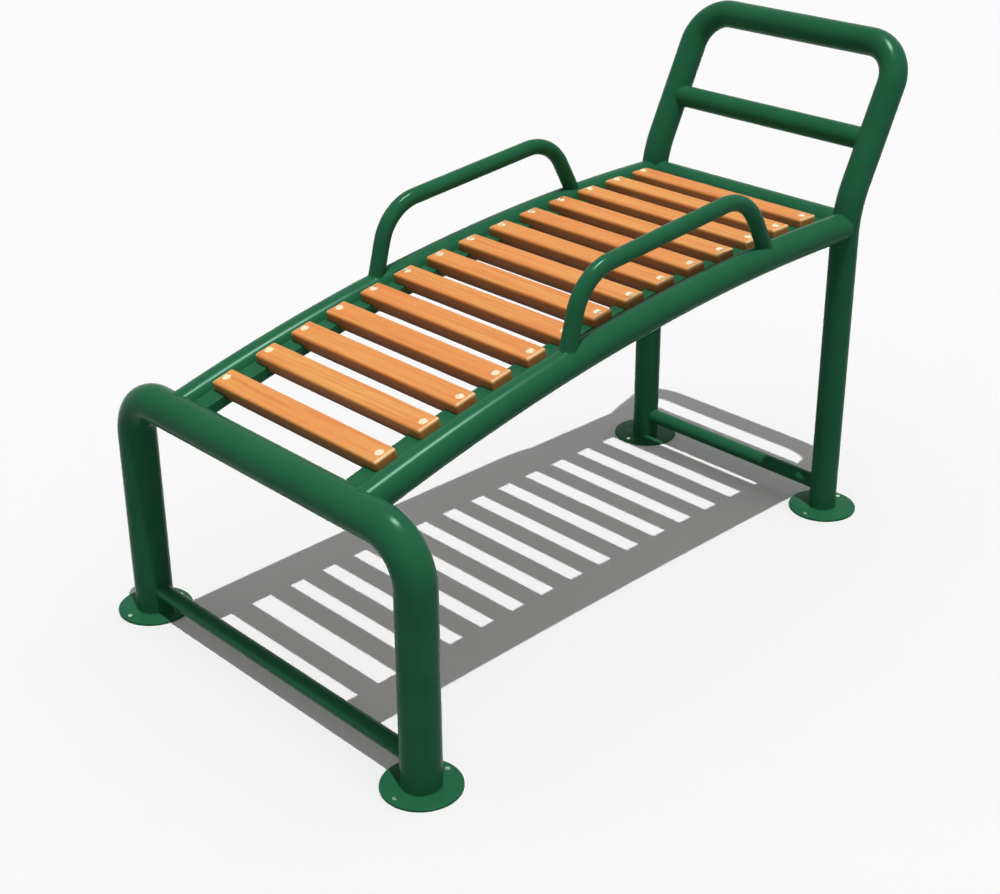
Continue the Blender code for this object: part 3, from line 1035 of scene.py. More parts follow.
@dataclass
class TubeFrame:
    """The two hoops that are the bench's legs, and the tubes welded across them."""

    shop: Workshop
    front_bend_r: float = 0.090
    front_tie_height: float = 0.052
    rear_tie_height: float = 0.056
    seat_bend_height: float = 0.7125
    seat_bend_r: float = 0.243
    back_tilt: float = math.radians(26.6)
    back_length: float = 0.353
    back_corner_r: float = 0.081
    foot_bar_along_back: float = 0.150
    bend_steps: int = 24
    seat_bend_steps: int = 16

    @property
    def back_up(self) -> Vector:
        """The direction of the tilted back."""
        return Vector((math.sin(self.back_tilt), 0, math.cos(self.back_tilt)))

    def front_path(self) -> list[Vector]:
        """Up one front leg, over the cross bar and down the other."""
        plan = self.shop.plan
        corners = [
            Vector((plan.front_x, side * plan.front_y, height))
            for side, height in (
                (-1, plan.leg_foot_z),
                (-1, plan.front_bar_z),
                (1, plan.front_bar_z),
                (1, plan.leg_foot_z),
            )
        ]
        bend = (self.front_bend_r, self.bend_steps)
        return rounded_path(corners, [bend, bend])

    def rear_path(self) -> list[Vector]:
        """Up one rear leg, back along the tilted hoop, across its top and down the other side."""
        plan = self.shop.plan
        corners = [
            Vector((plan.rear_x, side * plan.rear_y, height)) + self.back_up * along
            for side, height, along in (
                (-1, plan.leg_foot_z, 0),
                (-1, self.seat_bend_height, 0),
                (-1, self.seat_bend_height, self.back_length),
                (1, self.seat_bend_height, self.back_length),
                (1, self.seat_bend_height, 0),
                (1, plan.leg_foot_z, 0),
            )
        ]
        seat_bend = (self.seat_bend_r, self.seat_bend_steps)
        top_bend = (self.back_corner_r, self.bend_steps)
        return rounded_path(corners, [seat_bend, top_bend, top_bend, seat_bend])

    def front_tie_path(self) -> list[Vector]:
        """Between the front legs, just above the plates."""
        return across(self.shop.plan.front_x, self.front_tie_height, self.shop.plan.front_y)

    def rear_tie_path(self) -> list[Vector]:
        """Between the rear legs, just above the plates."""
        return across(self.shop.plan.rear_x, self.rear_tie_height, self.shop.plan.rear_y)

    def foot_bar_path(self) -> list[Vector]:
        """Across the back hoop, where the feet hook under it."""
        plan = self.shop.plan
        centre = Vector((plan.rear_x, 0, self.seat_bend_height)) + self.back_up * self.foot_bar_along_back
        return across(centre.x, centre.z, plan.rear_y)

    def cross_path(self) -> list[Vector]:
        """Between the rear legs at seat level."""
        plan = self.shop.plan
        return across(plan.rear_x, plan.rear_cross_height, plan.rear_y - plan.cope_setback)

    def front_bar(self) -> Mesh:
        """The front hoop as a solid, to fit other pieces to."""
        return self.shop.bender.bar(lengthened(self.front_path(), OVERSHOOT), self.shop.plan.front_pipe)

    def rear_bar(self) -> Mesh:
        """The rear hoop as a solid, to fit other pieces to."""
        return self.shop.bender.bar(lengthened(self.rear_path(), OVERSHOOT), self.shop.plan.rear_pipe)

    def rail_bar(self, side: int) -> Mesh:
        """A rail as a solid, to fit other pieces to."""
        return self.shop.bender.bar(self.shop.plan.rail_path(side), self.shop.plan.rail_pipe)

    def build(self) -> None:
        """Make and finish the hoops and the tubes across them."""
        plan = self.shop.plan
        rails = [self.rail_bar(side) for side in SIDES.values()]
        for name, node, path, pipe, neighbours in (
            ("front_hoop_tube", "front_hoop", self.front_path(), plan.front_pipe, []),
            ("rear_hoop_tube", "rear_hoop", self.rear_path(), plan.rear_pipe, []),
            ("front_tie_tube", "front_tie_bar", self.front_tie_path(), plan.slim_pipe, [self.front_bar()]),
            ("rear_tie_tube", "rear_tie_bar", self.rear_tie_path(), plan.slim_pipe, [self.rear_bar()]),
            ("foot_bar_tube", "foot_bar", self.foot_bar_path(), plan.foot_pipe, [self.rear_bar()]),
            ("cross_tube", "rear_cross_tube", self.cross_path(), plan.rail_pipe, [self.rear_bar(), *rails]),
        ):
            self.shop.fit_tube(name, node, path, pipe, neighbours)


@dataclass
class SeatRails:
    """The two arched rails and the steel angles inside them that carry the slat ends."""

    shop: Workshop
    tubes: TubeFrame
    ledge_drop: float = 0.022
    heel_r: float = 0.0009
    fillet_r: float = 0.0032
    toe_r: float = 0.0012
    corner_steps: int = 4

    def ledge_outline(self) -> list[Pair]:
        """The rolled angle's section as (distance from the bench's middle, height above the arc).

        Returns:
            The points, with the heel a little rounded, a fillet inside it and a soft toe.
        """
        plan = self.shop.plan
        inner = plan.ledge_inner_y
        web = inner + plan.ledge_t
        top, under = plan.ledge_top, plan.ledge_under
        bottom = top - self.ledge_drop
        heel, toe, fillet = (
            arc_points(centre, radius, quarters, self.corner_steps)
            for centre, radius, quarters in (
                ((inner + self.heel_r, top - self.heel_r), self.heel_r, (1, 2)),
                ((web - self.toe_r, bottom + self.toe_r), self.toe_r, (3, 4)),
                ((web + self.fillet_r, under - self.fillet_r), self.fillet_r, (2, 1)),
            )
        )
        start, end = (plan.rail_skin_y(top), top), (plan.rail_skin_y(under), under)
        return [start, *heel, (inner, bottom), *toe, *fillet, end]

    def ledge_mesh(self, side: int) -> Mesh:
        """The angle's section spun round the seat arc.

        Args:
            side: 1 for the left ledge and -1 for the right one.

        Returns:
            The closed mesh.
        """
        plan = self.shop.plan
        arc = plan.arc
        start = arc.angle_at(plan.front_x)
        turn = arc.angle_at(plan.rear_x) - start
        place = arc.place(start)
        bm = bmesh.new()
        corners = [bm.verts.new(place @ Vector((0, side * y, z))) for y, z in self.ledge_outline()]
        face = bm.faces.new(corners)
        section = [face, *face.edges, *face.verts]
        bmesh.ops.spin(bm, geom=section, cent=arc.centre, axis=(0, 1, 0), angle=turn, steps=plan.seat_steps)
        return mesh_of(bm)

    def build(self) -> None:
        """Make and finish the rails and the ledges."""
        plan = self.shop.plan
        for name, side in SIDES.items():
            hoops = [self.tubes.front_bar(), self.tubes.rear_bar()]
            path = plan.rail_path(side)
            self.shop.fit_tube(f"rail_tube_{name}", f"seat_rail_{name}", path, plan.rail_pipe, hoops)
            cross = self.shop.bender.bar(self.tubes.cross_path(), plan.rail_pipe)
            ledge = closed_up(combined(self.ledge_mesh(side), [self.tubes.front_bar(), cross]))
            self.shop.finish(f"ledge_angle_{name}", ledge, Slot.GREEN, [f"slat_ledge_{name}"])


@dataclass
class Handles:
    """The bent hand grips that stand on the rails."""

    shop: Workshop
    tubes: TubeFrame
    # Corner points as distance behind the front legs and height above the floor
    front_foot: Pair = (0.4930, 0.6087)
    front_corner: Pair = (0.5355, 0.7717)
    rear_corner: Pair = (0.9966, 0.8197)
    rear_foot: Pair = (1.0776, 0.6714)
    bend_r: float = 0.1035
    bend_steps: int = 20

    def path(self, side: int) -> list[Vector]:
        """From the front foot on the rail, over the grip, to the rear foot."""
        plan = self.shop.plan
        corners = [
            Vector((plan.front_x + along, side * plan.rear_y, height))
            for along, height in (self.front_foot, self.front_corner, self.rear_corner, self.rear_foot)
        ]
        bend = (self.bend_r, self.bend_steps)
        return rounded_path(corners, [bend, bend])

    def build(self) -> None:
        """Make and finish both handles."""
        pipe = self.shop.plan.slim_pipe
        for name, side in SIDES.items():
            rail = [self.tubes.rail_bar(side)]
            self.shop.fit_tube(f"handle_tube_{name}", f"handle_{name}", self.path(side), pipe, rail)


class SeatRow:
    """A Geometry Nodes tree that sets copies of one part along the seat's arc, in one row or two."""

    # How far the grain may be shifted from one board to the next, in metres
    MOST_SHIFT = 9.0

    def __init__(self) -> None:
        """Build the tree."""
        nodes, given = NodeTree.geometry(
            "seat_row",
            (
                ("Count", "Int", 14),
                ("Rows", "Int", 1),
                ("Row Spacing", "Float", 0.0),
                ("Arc Radius", "Float", 4.5),
                ("Arc Centre", "Vector", (0.0, 0.0, 0.0)),
                ("Last Angle", "Float", 0.0),
                ("Pitch Angle", "Float", 0.02),
                ("First Extra", "Float", 0.0),
                ("Turn", "Float", 0.0),
                ("Seed", "Int", 1),
            ),
        )
        index = nodes.add("GeometryNodeInputIndex").outputs[0]
        row = nodes.math("FLOOR", nodes.math("DIVIDE", index, given["Count"]))
        step = nodes.math("SUBTRACT", index, nodes.math("MULTIPLY", row, given["Count"]))
        steps_left = nodes.math("SUBTRACT", nodes.math("SUBTRACT", given["Count"], 1.0), step)
        run_back = nodes.math("MULTIPLY", steps_left, given["Pitch Angle"])
        is_first = nodes.math("LESS_THAN", step, 0.5)
        extra = nodes.math("MULTIPLY", is_first, given["First Extra"])
        angle = nodes.math("SUBTRACT", nodes.math("SUBTRACT", given["Last Angle"], run_back), extra)
        half_rows = nodes.math("MULTIPLY", nodes.math("SUBTRACT", given["Rows"], 1.0), 0.5)
        out = nodes.add(
            "ShaderNodeCombineXYZ",
            {
                "X": nodes.math("MULTIPLY", nodes.math("SINE", angle), given["Arc Radius"]),
                "Y": nodes.math("MULTIPLY", nodes.math("SUBTRACT", row, half_rows), given["Row Spacing"]),
                "Z": nodes.math("MULTIPLY", nodes.math("COSINE", angle), given["Arc Radius"]),
            },
        )
        place = nodes.vector_math("ADD", out, given["Arc Centre"])
        count = nodes.math("MULTIPLY", given["Count"], given["Rows"])
        points = nodes.add("GeometryNodePoints", {"Count": count, "Position": place})

        def chance(kind: str, low: object, high: object) -> Node:
            """A value of its own for each copy."""
            inputs = {"Min": low, "Max": high, "Seed": given["Seed"]}
            return nodes.add("FunctionNodeRandomValue", inputs, data_type=kind)

        def turned(axis: str, by: object) -> Node:
            """A turn about an axis."""
            turns = nodes.add("ShaderNodeCombineXYZ", {axis: by})
            return nodes.add("FunctionNodeEulerToRotation", {0: turns})

        parts = {"Points": points, "Instance": given["Geometry"], "Rotation": turned("Y", angle)}
        copies = nodes.add("GeometryNodeInstanceOnPoints", parts)
        own_turn = chance("FLOAT", nodes.math("MULTIPLY", given["Turn"], -1.0), given["Turn"])
        spin = {"Instances": copies, "Rotation": turned("Z", own_turn), "Local Space": True}
        copies = nodes.add("GeometryNodeRotateInstances", spin)
        shift = chance("FLOAT_VECTOR", (0.0, 0.0, 0.0), (self.MOST_SHIFT,) * 3)
        tone = chance("FLOAT", 0.0, 1.0)
        for name, kind, value in (("part_shift", "FLOAT_VECTOR", shift), ("part_tone", "FLOAT", tone)):
            note = {"Geometry": copies, "Name": name, "Value": value}
            copies = nodes.add("GeometryNodeStoreNamedAttribute", note, data_type=kind, domain="INSTANCE")
        self.tree = nodes.ended(copies, given["Material"])

    def set_out(self, part: Mesh, plan: BenchPlan, values: Mapping[str, object]) -> Mesh:
        """Set a part out along the slats' places.

        Args:
            part: The part's mesh, about the arc at height zero.
            plan: The bench's shared sizes.
            values: The tree's inputs that the slats' places don't give.

        Returns:
            A plain mesh of all the copies.
        """
        places = part.attributes.new("part_place", "FLOAT_VECTOR", "POINT")
        for value, vertex in zip(places.data, part.vertices):
            value.vector = vertex.co
        top_r = plan.seat_arc_radius + plan.slat_top
        row = {
            "Count": plan.slat_count,
            "Arc Radius": plan.seat_arc_radius,
            "Arc Centre": plan.arc.centre,
            "Last Angle": plan.arc.angle_at(plan.rear_x - plan.last_slat_from_rear_leg),
            "Pitch Angle": plan.slat_pitch / top_r,
            "First Extra": plan.first_slat_extra / top_r,
        }
        return made_plain(run_tree(part, self.tree, {**row, **values}))


@dataclass
class SeatSlats:
    """The hardwood slats that make the seat, with rounded edges and a bolt hole at each end."""

    shop: Workshop
    row: SeatRow
    length: float = 0.480
    width: float = 0.050
    thickness: float = 0.030
    shoulder_play: float = 0.002
    edge_r: float = 0.0045
    edge_steps: int = 4
    # The bevel's shape, where one half is a round
    edge_shape: float = 0.5
    face_border: float = 0.0008
    hole_d: float = 0.0092
    hole_sides: int = 20
    seed: int = 11

    def board(self) -> Mesh:
        """One slat about the rails' centreline height, its ends rebated to lie on the ledges.

        Returns:
            The closed mesh, shaded smooth.
        """
        plan = self.shop.plan
        middle = Vector((0, 0, plan.slat_top - self.thickness / 2))
        bm = block(middle, (self.width, self.length, self.thickness))
        flat_count = len(bm.faces)
        edge = {"offset": self.edge_r, "segments": self.edge_steps, "profile": self.edge_shape}
        bmesh.ops.bevel(bm, geom=list(bm.edges), affect="EDGES", **edge)
        flat_faces = sorted(bm.faces, key=lambda face: face.calc_area())[-flat_count:]
        bmesh.ops.inset_individual(bm, faces=flat_faces, thickness=self.face_border, use_even_offset=True)
        shoulder = plan.ledge_inner_y - self.shoulder_play
        run = self.length / 2 + OVERSHOOT - shoulder
        depth = self.thickness - plan.slat_end_t + OVERSHOOT
        rebate_z = plan.slat_top - plan.slat_end_t - depth / 2
        drilled = plan.slat_top + OVERSHOOT
        cutters = []
        for side in SIDES.values():
            rebate = block(Vector((0, side * (shoulder + run / 2), rebate_z)), (2 * self.width, run, depth))
            hole = Matrix.Translation((0, side * plan.bolt_spacing / 2, 0))
            cutters += [mesh_of(rebate), prism(hole, self.hole_d, drilled, self.hole_sides)]
        return closed_up(combined(mesh_of(bm), cutters))

    def build(self) -> None:
        """Make and finish the slats."""
        plan = self.shop.plan
        values = {"Rows": 1, "Seed": self.seed, "Material": self.shop.finishes[Slot.WOOD]}
        mesh = self.row.set_out(self.board(), plan, values)
        nodes = [f"slat_{number:02d}" for number in range(1, plan.slat_count + 1)]
        self.shop.finish("seat_slats", mesh, Slot.WOOD, nodes)


@dataclass
class SlatFasteners:
    """The dome-headed bolts through the slat ends, each with its washer and nut under the ledge."""

    shop: Workshop
    row: SeatRow
    head_d: float = 0.0175
    head_h: float = 0.0045
    head_rim: float = 0.0005
    shank_d: float = 0.008
    tail: float = 0.003
    thread_pitch: float = 0.00125
    thread_depth: float = 0.0005
    washer_d: float = 0.016
    washer_bore: float = 0.0084
    washer_t: float = 0.0016
    washer_edge: float = 0.00024
    nut_flats: float = 0.013
    nut_h: float = 0.0065
    nut_sides: int = 6
    # How high the turned slope of the nut's corners is, for each part that it cuts off them
    nut_slope: float = 0.6
    dome_steps: int = 8
    sides: int = 32
    seed: int = 5

    @property
    def washer_top(self) -> float:
        """Height of the washer's upper face above the arc."""
        return self.shop.plan.ledge_under - self.shop.plan.play

    def dome(self, seat: float) -> list[Pair]:
        """A flat dome's profile from its rim to the axis.

        Args:
            seat: Height of the face that it sits on.

        Returns:
            The (radius, height) points.
        """
        radius = self.head_d / 2
        rise = self.head_h - self.head_rim
        ball = (radius**2 + rise**2) / (2 * rise)
        reach = math.asin(radius / ball) / (math.pi / 2)
        return arc_points((0, seat + self.head_h - ball), ball, (1 - reach, 1), self.dome_steps)

    def bolt(self) -> Mesh:
        """A bolt with a plain domed head and a threaded tail."""
        seat = self.shop.plan.slat_top
        shank_r = self.shank_d / 2
        root_r = shank_r - self.thread_depth
        end = self.washer_top - self.washer_t - self.nut_h - self.tail
        turns = int((self.tail + self.nut_h / 2) / self.thread_pitch)
        start = end + self.thread_depth
        profile = [(0, end), (root_r, end)]
        for turn in range(turns):
            base = start + turn * self.thread_pitch
            profile += [(shank_r, base + self.thread_pitch / 4), (root_r, base + 3 * self.thread_pitch / 4)]
        profile += [(shank_r, start + turns * self.thread_pitch), (shank_r, seat), (self.head_d / 2, seat)]
        return closed_up(turned_mesh([*profile, *self.dome(seat)], self.sides))

    def washer(self) -> Mesh:
        """A flat ring under the ledge."""
        top = self.washer_top
        low = top - self.washer_t
        inner = self.washer_bore / 2
        outer = self.washer_d / 2
        edge = self.washer_edge
        profile = [(inner, low), (outer - edge, low), (outer, low + edge), (outer, top), (inner, top)]
        return closed_up(turned_mesh(profile, self.sides, ring=True))

    def nut(self) -> Mesh:
        """A hexagon nut with its corners turned off and its hole bored."""
        top = self.washer_top - self.washer_t
        low = top - self.nut_h
        flat = self.nut_flats / 2
        corner_r = flat / math.cos(math.pi / self.nut_sides)
        slope = (corner_r - flat) * self.nut_slope
        middle = Matrix.Translation((0, 0, (top + low) / 2))
        blank = prism(middle, 2 * corner_r, self.nut_h / 2, self.nut_sides)
        corner = [(corner_r, low + slope), (corner_r, top - slope)]
        turned = [(0, low), (flat, low), *corner, (flat, top), (0, top)]
        rough = combined(blank, [turned_mesh(turned, self.sides)], Cut.KEEP_SHARED)
        ends = (low - OVERSHOOT, top + OVERSHOOT)
        bore_r = self.shank_d / 2
        bore = [(0, ends[0]), (bore_r, ends[0]), (bore_r, ends[1]), (0, ends[1])]
        return closed_up(combined(rough, [turned_mesh(bore, self.sides)]))

    def build(self) -> None:
        """Make and finish the bolts, washers and nuts."""
        plan = self.shop.plan
        values = {
            "Rows": len(SIDES),
            "Row Spacing": plan.bolt_spacing,
            "Seed": self.seed,
            "Turn": math.pi,
            "Material": self.shop.finishes[Slot.STEEL],
        }
        numbers = range(1, plan.slat_count + 1)
        nodes = [f"slat_bolt_{number:02d}_{side}" for number in numbers for side in SIDES]
        for name, part, replaced in (
            ("slat_bolts", self.bolt(), nodes),
            ("slat_washers", self.washer(), []),
            ("slat_nuts", self.nut(), []),
        ):
            self.shop.finish(name, self.row.set_out(part, plan, values), Slot.STEEL, replaced)


class LegFeet:
    """A Geometry Nodes tree that sets copies of one part at the foot of every leg.

    The copies go round the legs in turn: front right, front left, rear right, rear left.
    """

    LEGS = 4.0
    LEGS_AT_END = 2.0

    def __init__(self) -> None:
        """Build the tree."""
        nodes, given = NodeTree.geometry(
            "leg_feet",
            (
                ("Front X", "Float", -0.7),
                ("Front Half Width", "Float", 0.4),
                ("Rear X", "Float", 0.6),
                ("Rear Half Width", "Float", 0.3),
                ("Parts Per Leg", "Int", 1),
                ("Part Spacing", "Float", 0.0),
            ),
        )
        index = nodes.add("GeometryNodeInputIndex").outputs[0]
        leg = nodes.math("FLOORED_MODULO", index, self.LEGS)
        part = nodes.math("FLOOR", nodes.math("DIVIDE", index, self.LEGS))
        is_rear = nodes.math("GREATER_THAN", leg, self.LEGS_AT_END - 0.5)
        is_left = nodes.math("FLOORED_MODULO", leg, self.LEGS_AT_END)
        side = nodes.math("SUBTRACT", nodes.math("MULTIPLY", is_left, 2.0), 1.0)
        leg_x, half_width = (
            nodes.add(
                "ShaderNodeMix",
                {"Factor": is_rear, "A": given[f"Front {size}"], "B": given[f"Rear {size}"]},
                data_type="FLOAT",
            ).outputs[0]
            for size in ("X", "Half Width")
        )
        middle = nodes.math("MULTIPLY", nodes.math("SUBTRACT", given["Parts Per Leg"], 1.0), 0.5)
        offset = nodes.math("MULTIPLY", nodes.math("SUBTRACT", part, middle), given["Part Spacing"])
        place = nodes.add(
            "ShaderNodeCombineXYZ",
            {"X": nodes.math("ADD", leg_x, offset), "Y": nodes.math("MULTIPLY", side, half_width)},
        )
        count = nodes.math("MULTIPLY", given["Parts Per Leg"], self.LEGS)
        points = nodes.add("GeometryNodePoints", {"Count": count, "Position": place})
        parts = {"Points": points, "Instance": given["Geometry"]}
        copies = nodes.add("GeometryNodeInstanceOnPoints", parts)
        self.tree = nodes.ended(copies, given["Material"])

    def set_out(self, part: Mesh, plan: BenchPlan, values: Mapping[str, object]) -> Mesh:
        """Set a part out at the legs.

        Args:
            part: The part's mesh, about a leg's axis on the floor.
            plan: The bench's shared sizes.
            values: The tree's inputs that the plan doesn't give.

        Returns:
            A plain mesh of all the copies.
        """
        legs = {
            "Front X": plan.front_x,
            "Front Half Width": plan.front_y,
            "Rear X": plan.rear_x,
            "Rear Half Width": plan.rear_y,
        }
        return made_plain(run_tree(part, self.tree, {**legs, **values}))


@dataclass
class FloorPlates:
    """The round plates that the legs are welded to, and the anchors that hold them down."""

    shop: Workshop
    feet: LegFeet
    anchor_finish: Material
    diameter: float = 0.150
    hole_spacing: float = 0.122
    hole_d: float = 0.0080
    rim_r: float = 0.0012
    rim_steps: int = 3
    under_edge: float = 0.00036
    anchor_d: float = 0.0094
    anchor_h: float = 0.0011
    anchor_collar: float = 0.0003
    dome_steps: int = 6
    sides: int = 96
    hole_sides: int = 24

    def plate(self) -> Mesh:
        """A disc with a softened rim and two anchor holes."""
        thickness = self.shop.plan.plate_t
        radius = self.diameter / 2
        profile = [
            (0, 0),
            (radius - self.under_edge, 0),
            (radius, self.under_edge),
            *arc_points((radius - self.rim_r, thickness - self.rim_r), self.rim_r, (0, 1), self.rim_steps),
            (radius / 2, thickness),
            (0, thickness),
        ]
        places = [Matrix.Translation((side * self.hole_spacing / 2, 0, 0)) for side in SIDES.values()]
        drills = [prism(place, self.hole_d, 2 * thickness, self.hole_sides) for place in places]
        return closed_up(combined(turned_mesh(profile, self.sides), drills))

    def anchor(self) -> Mesh:
        """A small round-headed floor anchor with its shank in the plate's hole."""
        seat, play = self.shop.plan.plate_t, self.shop.plan.play
        radius = self.anchor_d / 2
        shank_r = self.hole_d / 2 - play
        rise = self.anchor_h - self.anchor_collar
        dome = arc_points((0, seat + self.anchor_collar), radius, (0, 1), self.dome_steps, rise)
        profile = [(0, play), (shank_r, play), (shank_r, seat), (radius, seat), *dome]
        return closed_up(turned_mesh(profile, self.hole_sides))

    def build(self) -> None:
        """Make and finish the plates and the anchors."""
        plan = self.shop.plan
        nodes = [f"floor_plate_{end}_{side}" for end in ("front", "rear") for side in SIDES]
        values = {"Parts Per Leg": 1, "Material": self.shop.finishes[Slot.GREEN]}
        self.shop.finish("floor_plates", self.feet.set_out(self.plate(), plan, values), Slot.GREEN, nodes)
        values = {"Parts Per Leg": 2, "Part Spacing": self.hole_spacing, "Material": self.anchor_finish}
        anchors = self.feet.set_out(self.anchor(), plan, values)
        self.shop.finish("floor_anchors", anchors, Slot.STEEL, look=self.anchor_finish)


@dataclass
class WeldBeads:
    """The painted weld beads round the tubes' joints. A Geometry Nodes tree ripples them."""

    shop: Workshop
    tubes: TubeFrame
    handles: Handles
    bead_r: float = 0.0012
    ripple_pitch: float = 0.0022
    ripple_depth: float = 0.06
    ring_spacing: float = 0.0009
    ring_sides: int = 8
    path_steps: int = 72
    look_from: float = 0.075
    # Rays keep just inside the tube's skin, because at its very edge they miss a tube as wide
    skin: float = 0.985

    def tree(self) -> bpy.types.NodeTree:
        """The tree that draws a rippled bead along each closed path.

        Returns:
            The tree.
        """
        nodes, given = NodeTree.geometry(
            "weld_bead",
            (
                ("Bead Radius", "Float", 0.002),
                ("Ripple Pitch", "Float", 0.0025),
                ("Ripple Depth", "Float", 0.15),
                ("Ring Spacing", "Float", 0.001),
                ("Sides", "Int", 8),
            ),
        )
        line = nodes.add("GeometryNodeMeshToCurve", {"Mesh": given["Geometry"]})
        spacing = {"Curve": line, "Length": given["Ring Spacing"]}
        even = nodes.add("GeometryNodeResampleCurve", spacing, mode="LENGTH")
        travelled = nodes.add("GeometryNodeSplineParameter").outputs["Length"]
        turns = nodes.math("DIVIDE", nodes.math("MULTIPLY", travelled, math.tau), given["Ripple Pitch"])
        wave = nodes.math("MULTIPLY", nodes.math("SINE", turns), given["Ripple Depth"])
        section = {"Resolution": given["Sides"], "Radius": given["Bead Radius"]}
        ring = nodes.add("GeometryNodeCurvePrimitiveCircle", section)
        scale = nodes.math("ADD", wave, 1.0)
        sweep = {"Curve": even, "Profile Curve": ring, "Scale": scale, "Fill Caps": True}
        return nodes.ended(nodes.add("GeometryNodeCurveToMesh", sweep), given["Material"])

    def joint(self, end: Vector, before: Vector, radius: float, hosts: Sequence[BVHTree]) -> list[Vector]:
        """The curve on which a tube's skin meets the tubes that it is welded to.

        Args:
            end: The end of the tube's centreline, inside the joint.
            before: The point before it on the centreline.
            radius: The tube's outside radius.
            hosts: The surfaces that it meets.

        Returns:
            The points round the joint.
        """
        ahead = (end - before).normalized()
        side = ahead.orthogonal().normalized()
        up = ahead.cross(side)
        start = end - ahead * self.look_from
        curve = []
        for step in range(self.path_steps):
            angle = math.tau * step / self.path_steps
            out = (side * math.cos(angle) + up * math.sin(angle)) * radius
            found = []
            for host in hosts:
                point, _, _, distance = host.ray_cast(start + out * self.skin, ahead, 2 * self.look_from)
                if point is not None:
                    found.append((distance, point))
            if found:
                curve.append(min(found, key=lambda hit: hit[0])[1])
        return curve

    def foot(self, x: float, y: float, radius: float) -> list[Vector]:
        """The circle on which a leg stands on its plate."""
        round_leg = arc_points((x, y), radius, (0, 4), self.path_steps)
        return [Vector((*place, self.shop.plan.plate_t)) for place in round_leg[:-1]]

    def skin_of(self, name: str) -> list[BVHTree]:
        """The surface of a finished tube, in a list of its own."""
        mesh = self.shop.pieces[Slot.GREEN][name].data
        corners = [vertex.co for vertex in mesh.vertices]
        return [BVHTree.FromPolygons(corners, [face.vertices for face in mesh.polygons])]

    def curves(self) -> list[list[Vector]]:
        """The line of every weld bead.

        Returns:
            A closed path for each joint.
        """
        plan, tubes = self.shop.plan, self.tubes
        front, rear = self.skin_of("front_hoop_tube"), self.skin_of("rear_hoop_tube")
        rails = {side: self.skin_of(f"rail_tube_{name}") for name, side in SIDES.items()}
        corner = [*rear, *rails[1], *rails[-1]]
        # Each tube with what its first end and its last end are welded to
        runs = [
            (tubes.front_tie_path(), plan.slim_pipe, front, front),
            (tubes.rear_tie_path(), plan.slim_pipe, rear, rear),
            (tubes.foot_bar_path(), plan.foot_pipe, rear, rear),
            (tubes.cross_path(), plan.rail_pipe, corner, corner),
        ]
        for side, rail in rails.items():
            runs.append((plan.rail_path(side), plan.rail_pipe, front, rear))
            runs.append((self.handles.path(side), plan.slim_pipe, rail, rail))
        curves = []
        for path, pipe, first_hosts, last_hosts in runs:
            curves.append(self.joint(path[0], path[1], pipe.radius, first_hosts))
            curves.append(self.joint(path[-1], path[-2], pipe.radius, last_hosts))
        for side in SIDES.values():
            curves.append(self.foot(plan.front_x, side * plan.front_y, plan.front_pipe.radius))
            curves.append(self.foot(plan.rear_x, side * plan.rear_y, plan.rear_pipe.radius))
        return curves

    def build(self) -> None:
        """Make and finish the beads."""
        values = {
            "Bead Radius": self.bead_r,
            "Ripple Pitch": self.ripple_pitch,
            "Ripple Depth": self.ripple_depth,
            "Ring Spacing": self.ring_spacing,
            "Sides": self.ring_sides,
            "Material": self.shop.finishes[Slot.GREEN],
        }
        beads = run_tree(path_mesh(self.curves(), closed=True), self.tree(), values)
        self.shop.finish("weld_beads", closed_up(made_plain(beads)), Slot.GREEN)


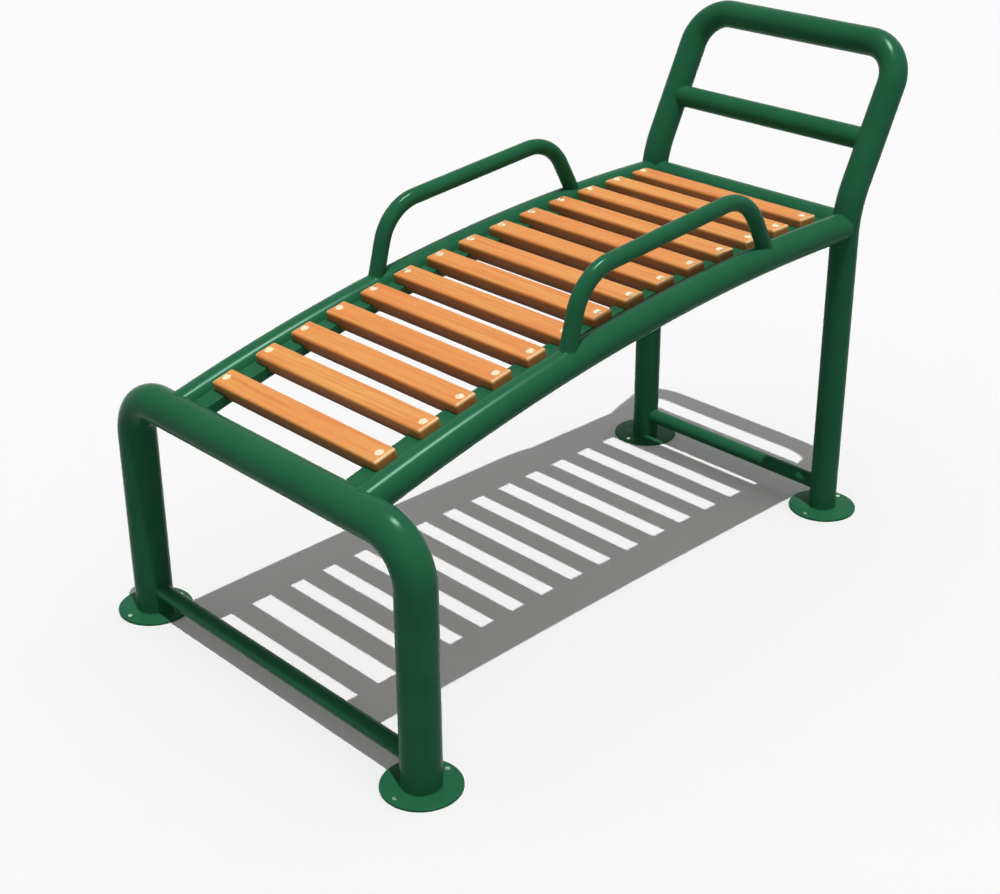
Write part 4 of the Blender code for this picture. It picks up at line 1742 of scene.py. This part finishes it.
@dataclass(frozen=True)
class Studio:
    """A white floor under one high light, and the camera at the photograph's viewing angle."""

    image_width: int = 1000
    focal_pixels: float = 1715.63
    sensor_width: float = 36.0
    shift: Pair = (-0.02306, -0.02167)
    azimuth: float = math.radians(-44.15)
    elevation: float = math.radians(25.33)
    camera_place: tuple[float, float, float] = (-2.29890, -2.28963, 1.85096)
    light_from: tuple[float, float, float] = (-0.054, -0.158, 0.986)
    light_strength: float = 2.20
    light_width: float = math.radians(0.5)
    panel_place: tuple[float, float, float] = (0.30, -0.30, 5.6)
    panel_size: Pair = (1.6, 1.0)
    panel_radiance: float = 255.0
    ambient: float = 0.30
    floor_half: float = 30.0
    floor_seen: float = 0.97
    floor_bounce: float = 0.35

    def camera(self) -> None:
        """Stand the camera where the photograph was taken from."""
        data = bpy.data.cameras.new("camera")
        data.sensor_width = self.sensor_width
        data.lens = self.focal_pixels * self.sensor_width / self.image_width
        data.shift_x, data.shift_y = self.shift
        obj = add_object("camera", data)
        turn, lift = self.azimuth, self.elevation
        back = Vector((math.sin(turn) * math.cos(lift), -math.cos(turn) * math.cos(lift), math.sin(lift)))
        right = Vector((math.cos(turn), math.sin(turn), 0))
        pose = Matrix((right, back.cross(right), back)).transposed().to_4x4()
        obj.matrix_world = Matrix.Translation(self.camera_place) @ pose
        bpy.context.scene.camera = obj

    def high_light(self) -> None:
        """Hang one light above, a little to the near side, as narrow as the sun."""
        data = bpy.data.lights.new("high_light", "SUN")
        data.energy = self.light_strength
        data.angle = self.light_width
        obj = add_object("high_light", data)
        obj.rotation_mode = "QUATERNION"
        obj.rotation_quaternion = Vector(self.light_from).to_track_quat("Z", "Y")
        # The panel alone shows in the gloss, so that each bend has one highlight
        obj.visible_glossy = False

    def gloss_panel(self, spared: Collection[Object]) -> None:
        """Hang a small bright panel over the seat that shows in the gloss and nowhere else.

        Args:
            spared: The pieces of bare metal, which it would clip to white and so leaves alone.
        """
        data = bpy.data.lights.new("gloss_panel", "AREA")
        data.shape = "RECTANGLE"
        data.size, data.size_y = self.panel_size
        data.energy = self.panel_radiance * math.pi * data.size * data.size_y
        obj = add_object("gloss_panel", data)
        obj.location = self.panel_place
        obj.visible_camera = obj.visible_diffuse = obj.visible_transmission = False
        left_alone = bpy.data.collections.new("spared_by_the_panel")
        for piece in spared:
            left_alone.objects.link(piece)
        for entry in left_alone.collection_objects:
            entry.light_linking.link_state = "EXCLUDE"
        obj.light_linking.receiver_collection = left_alone

    def seen(self, nodes: NodeTree) -> NodeSocket:
        """One for a ray from the camera, a mirror or glass, and nought for one that only lights."""
        rays = nodes.add("ShaderNodeLightPath").outputs
        either = nodes.math("MAXIMUM", rays["Is Camera Ray"], rays["Is Glossy Ray"])
        return nodes.math("MAXIMUM", either, rays["Is Transmission Ray"])

    def world(self) -> None:
        """A white surround that lights the bench more weakly than it shows."""
        world = bpy.data.worlds.new("studio")
        world.use_nodes = True
        nodes = NodeTree(world.node_tree)
        strength = nodes.spread(self.seen(nodes), (self.ambient, 1.0))
        nodes.fill(world.node_tree.nodes["Background"], {"Color": (1.0, 1.0, 1.0), "Strength": strength})
        bpy.context.scene.world = world

    def floor(self) -> None:
        """A plain pale floor that keeps the bench's shadow."""
        material, nodes, shader = new_material("pale_floor")
        level = nodes.spread(self.seen(nodes), (self.floor_bounce, self.floor_seen))
        shade = nodes.add("ShaderNodeCombineColor", {0: level, 1: level, 2: level})
        nodes.fill(shader, {"Base Color": shade, "Roughness": 1.0, "Specular IOR Level": 0.0})
        bm = bmesh.new()
        bmesh.ops.create_grid(bm, x_segments=1, y_segments=1, size=self.floor_half)
        mesh = bpy.data.meshes.new("floor")
        bm.to_mesh(mesh)
        bm.free()
        mesh.materials.append(material)
        add_object("floor", mesh)

    def build(self) -> None:
        """Set up the studio, apart from the panel, which has to know the finished pieces."""
        self.camera()
        self.high_light()
        self.world()
        self.floor()
        bpy.context.scene.view_settings.view_transform = "Standard"


def main() -> None:
    """Build the studio and every sub-assembly of the bench."""
    logging.basicConfig(level=logging.INFO, format="%(name)s %(message)s")
    studio = Studio()
    studio.build()
    groups = ShaderGroups.build()
    finishes = {
        Slot.GREEN: PowderCoat().material(groups),
        Slot.WOOD: Hardwood().material(groups),
        Slot.STEEL: StainlessSteel().material(groups),
    }
    shop = Workshop(BenchPlan(), PipeBender(), finishes)
    tubes = TubeFrame(shop)
    handles = Handles(shop, tubes)
    seat_row = SeatRow()
    for assembly in (
        tubes,
        SeatRails(shop, tubes),
        handles,
        SeatSlats(shop, seat_row),
        SlatFasteners(shop, seat_row),
        FloorPlates(shop, LegFeet(), DullZinc().material(groups)),
        WeldBeads(shop, tubes, handles),
    ):
        LOG.info("building %s", type(assembly).__name__)
        assembly.build()
    studio.gloss_panel(shop.pieces[Slot.STEEL].values())


if __name__ == "__main__":
    main()
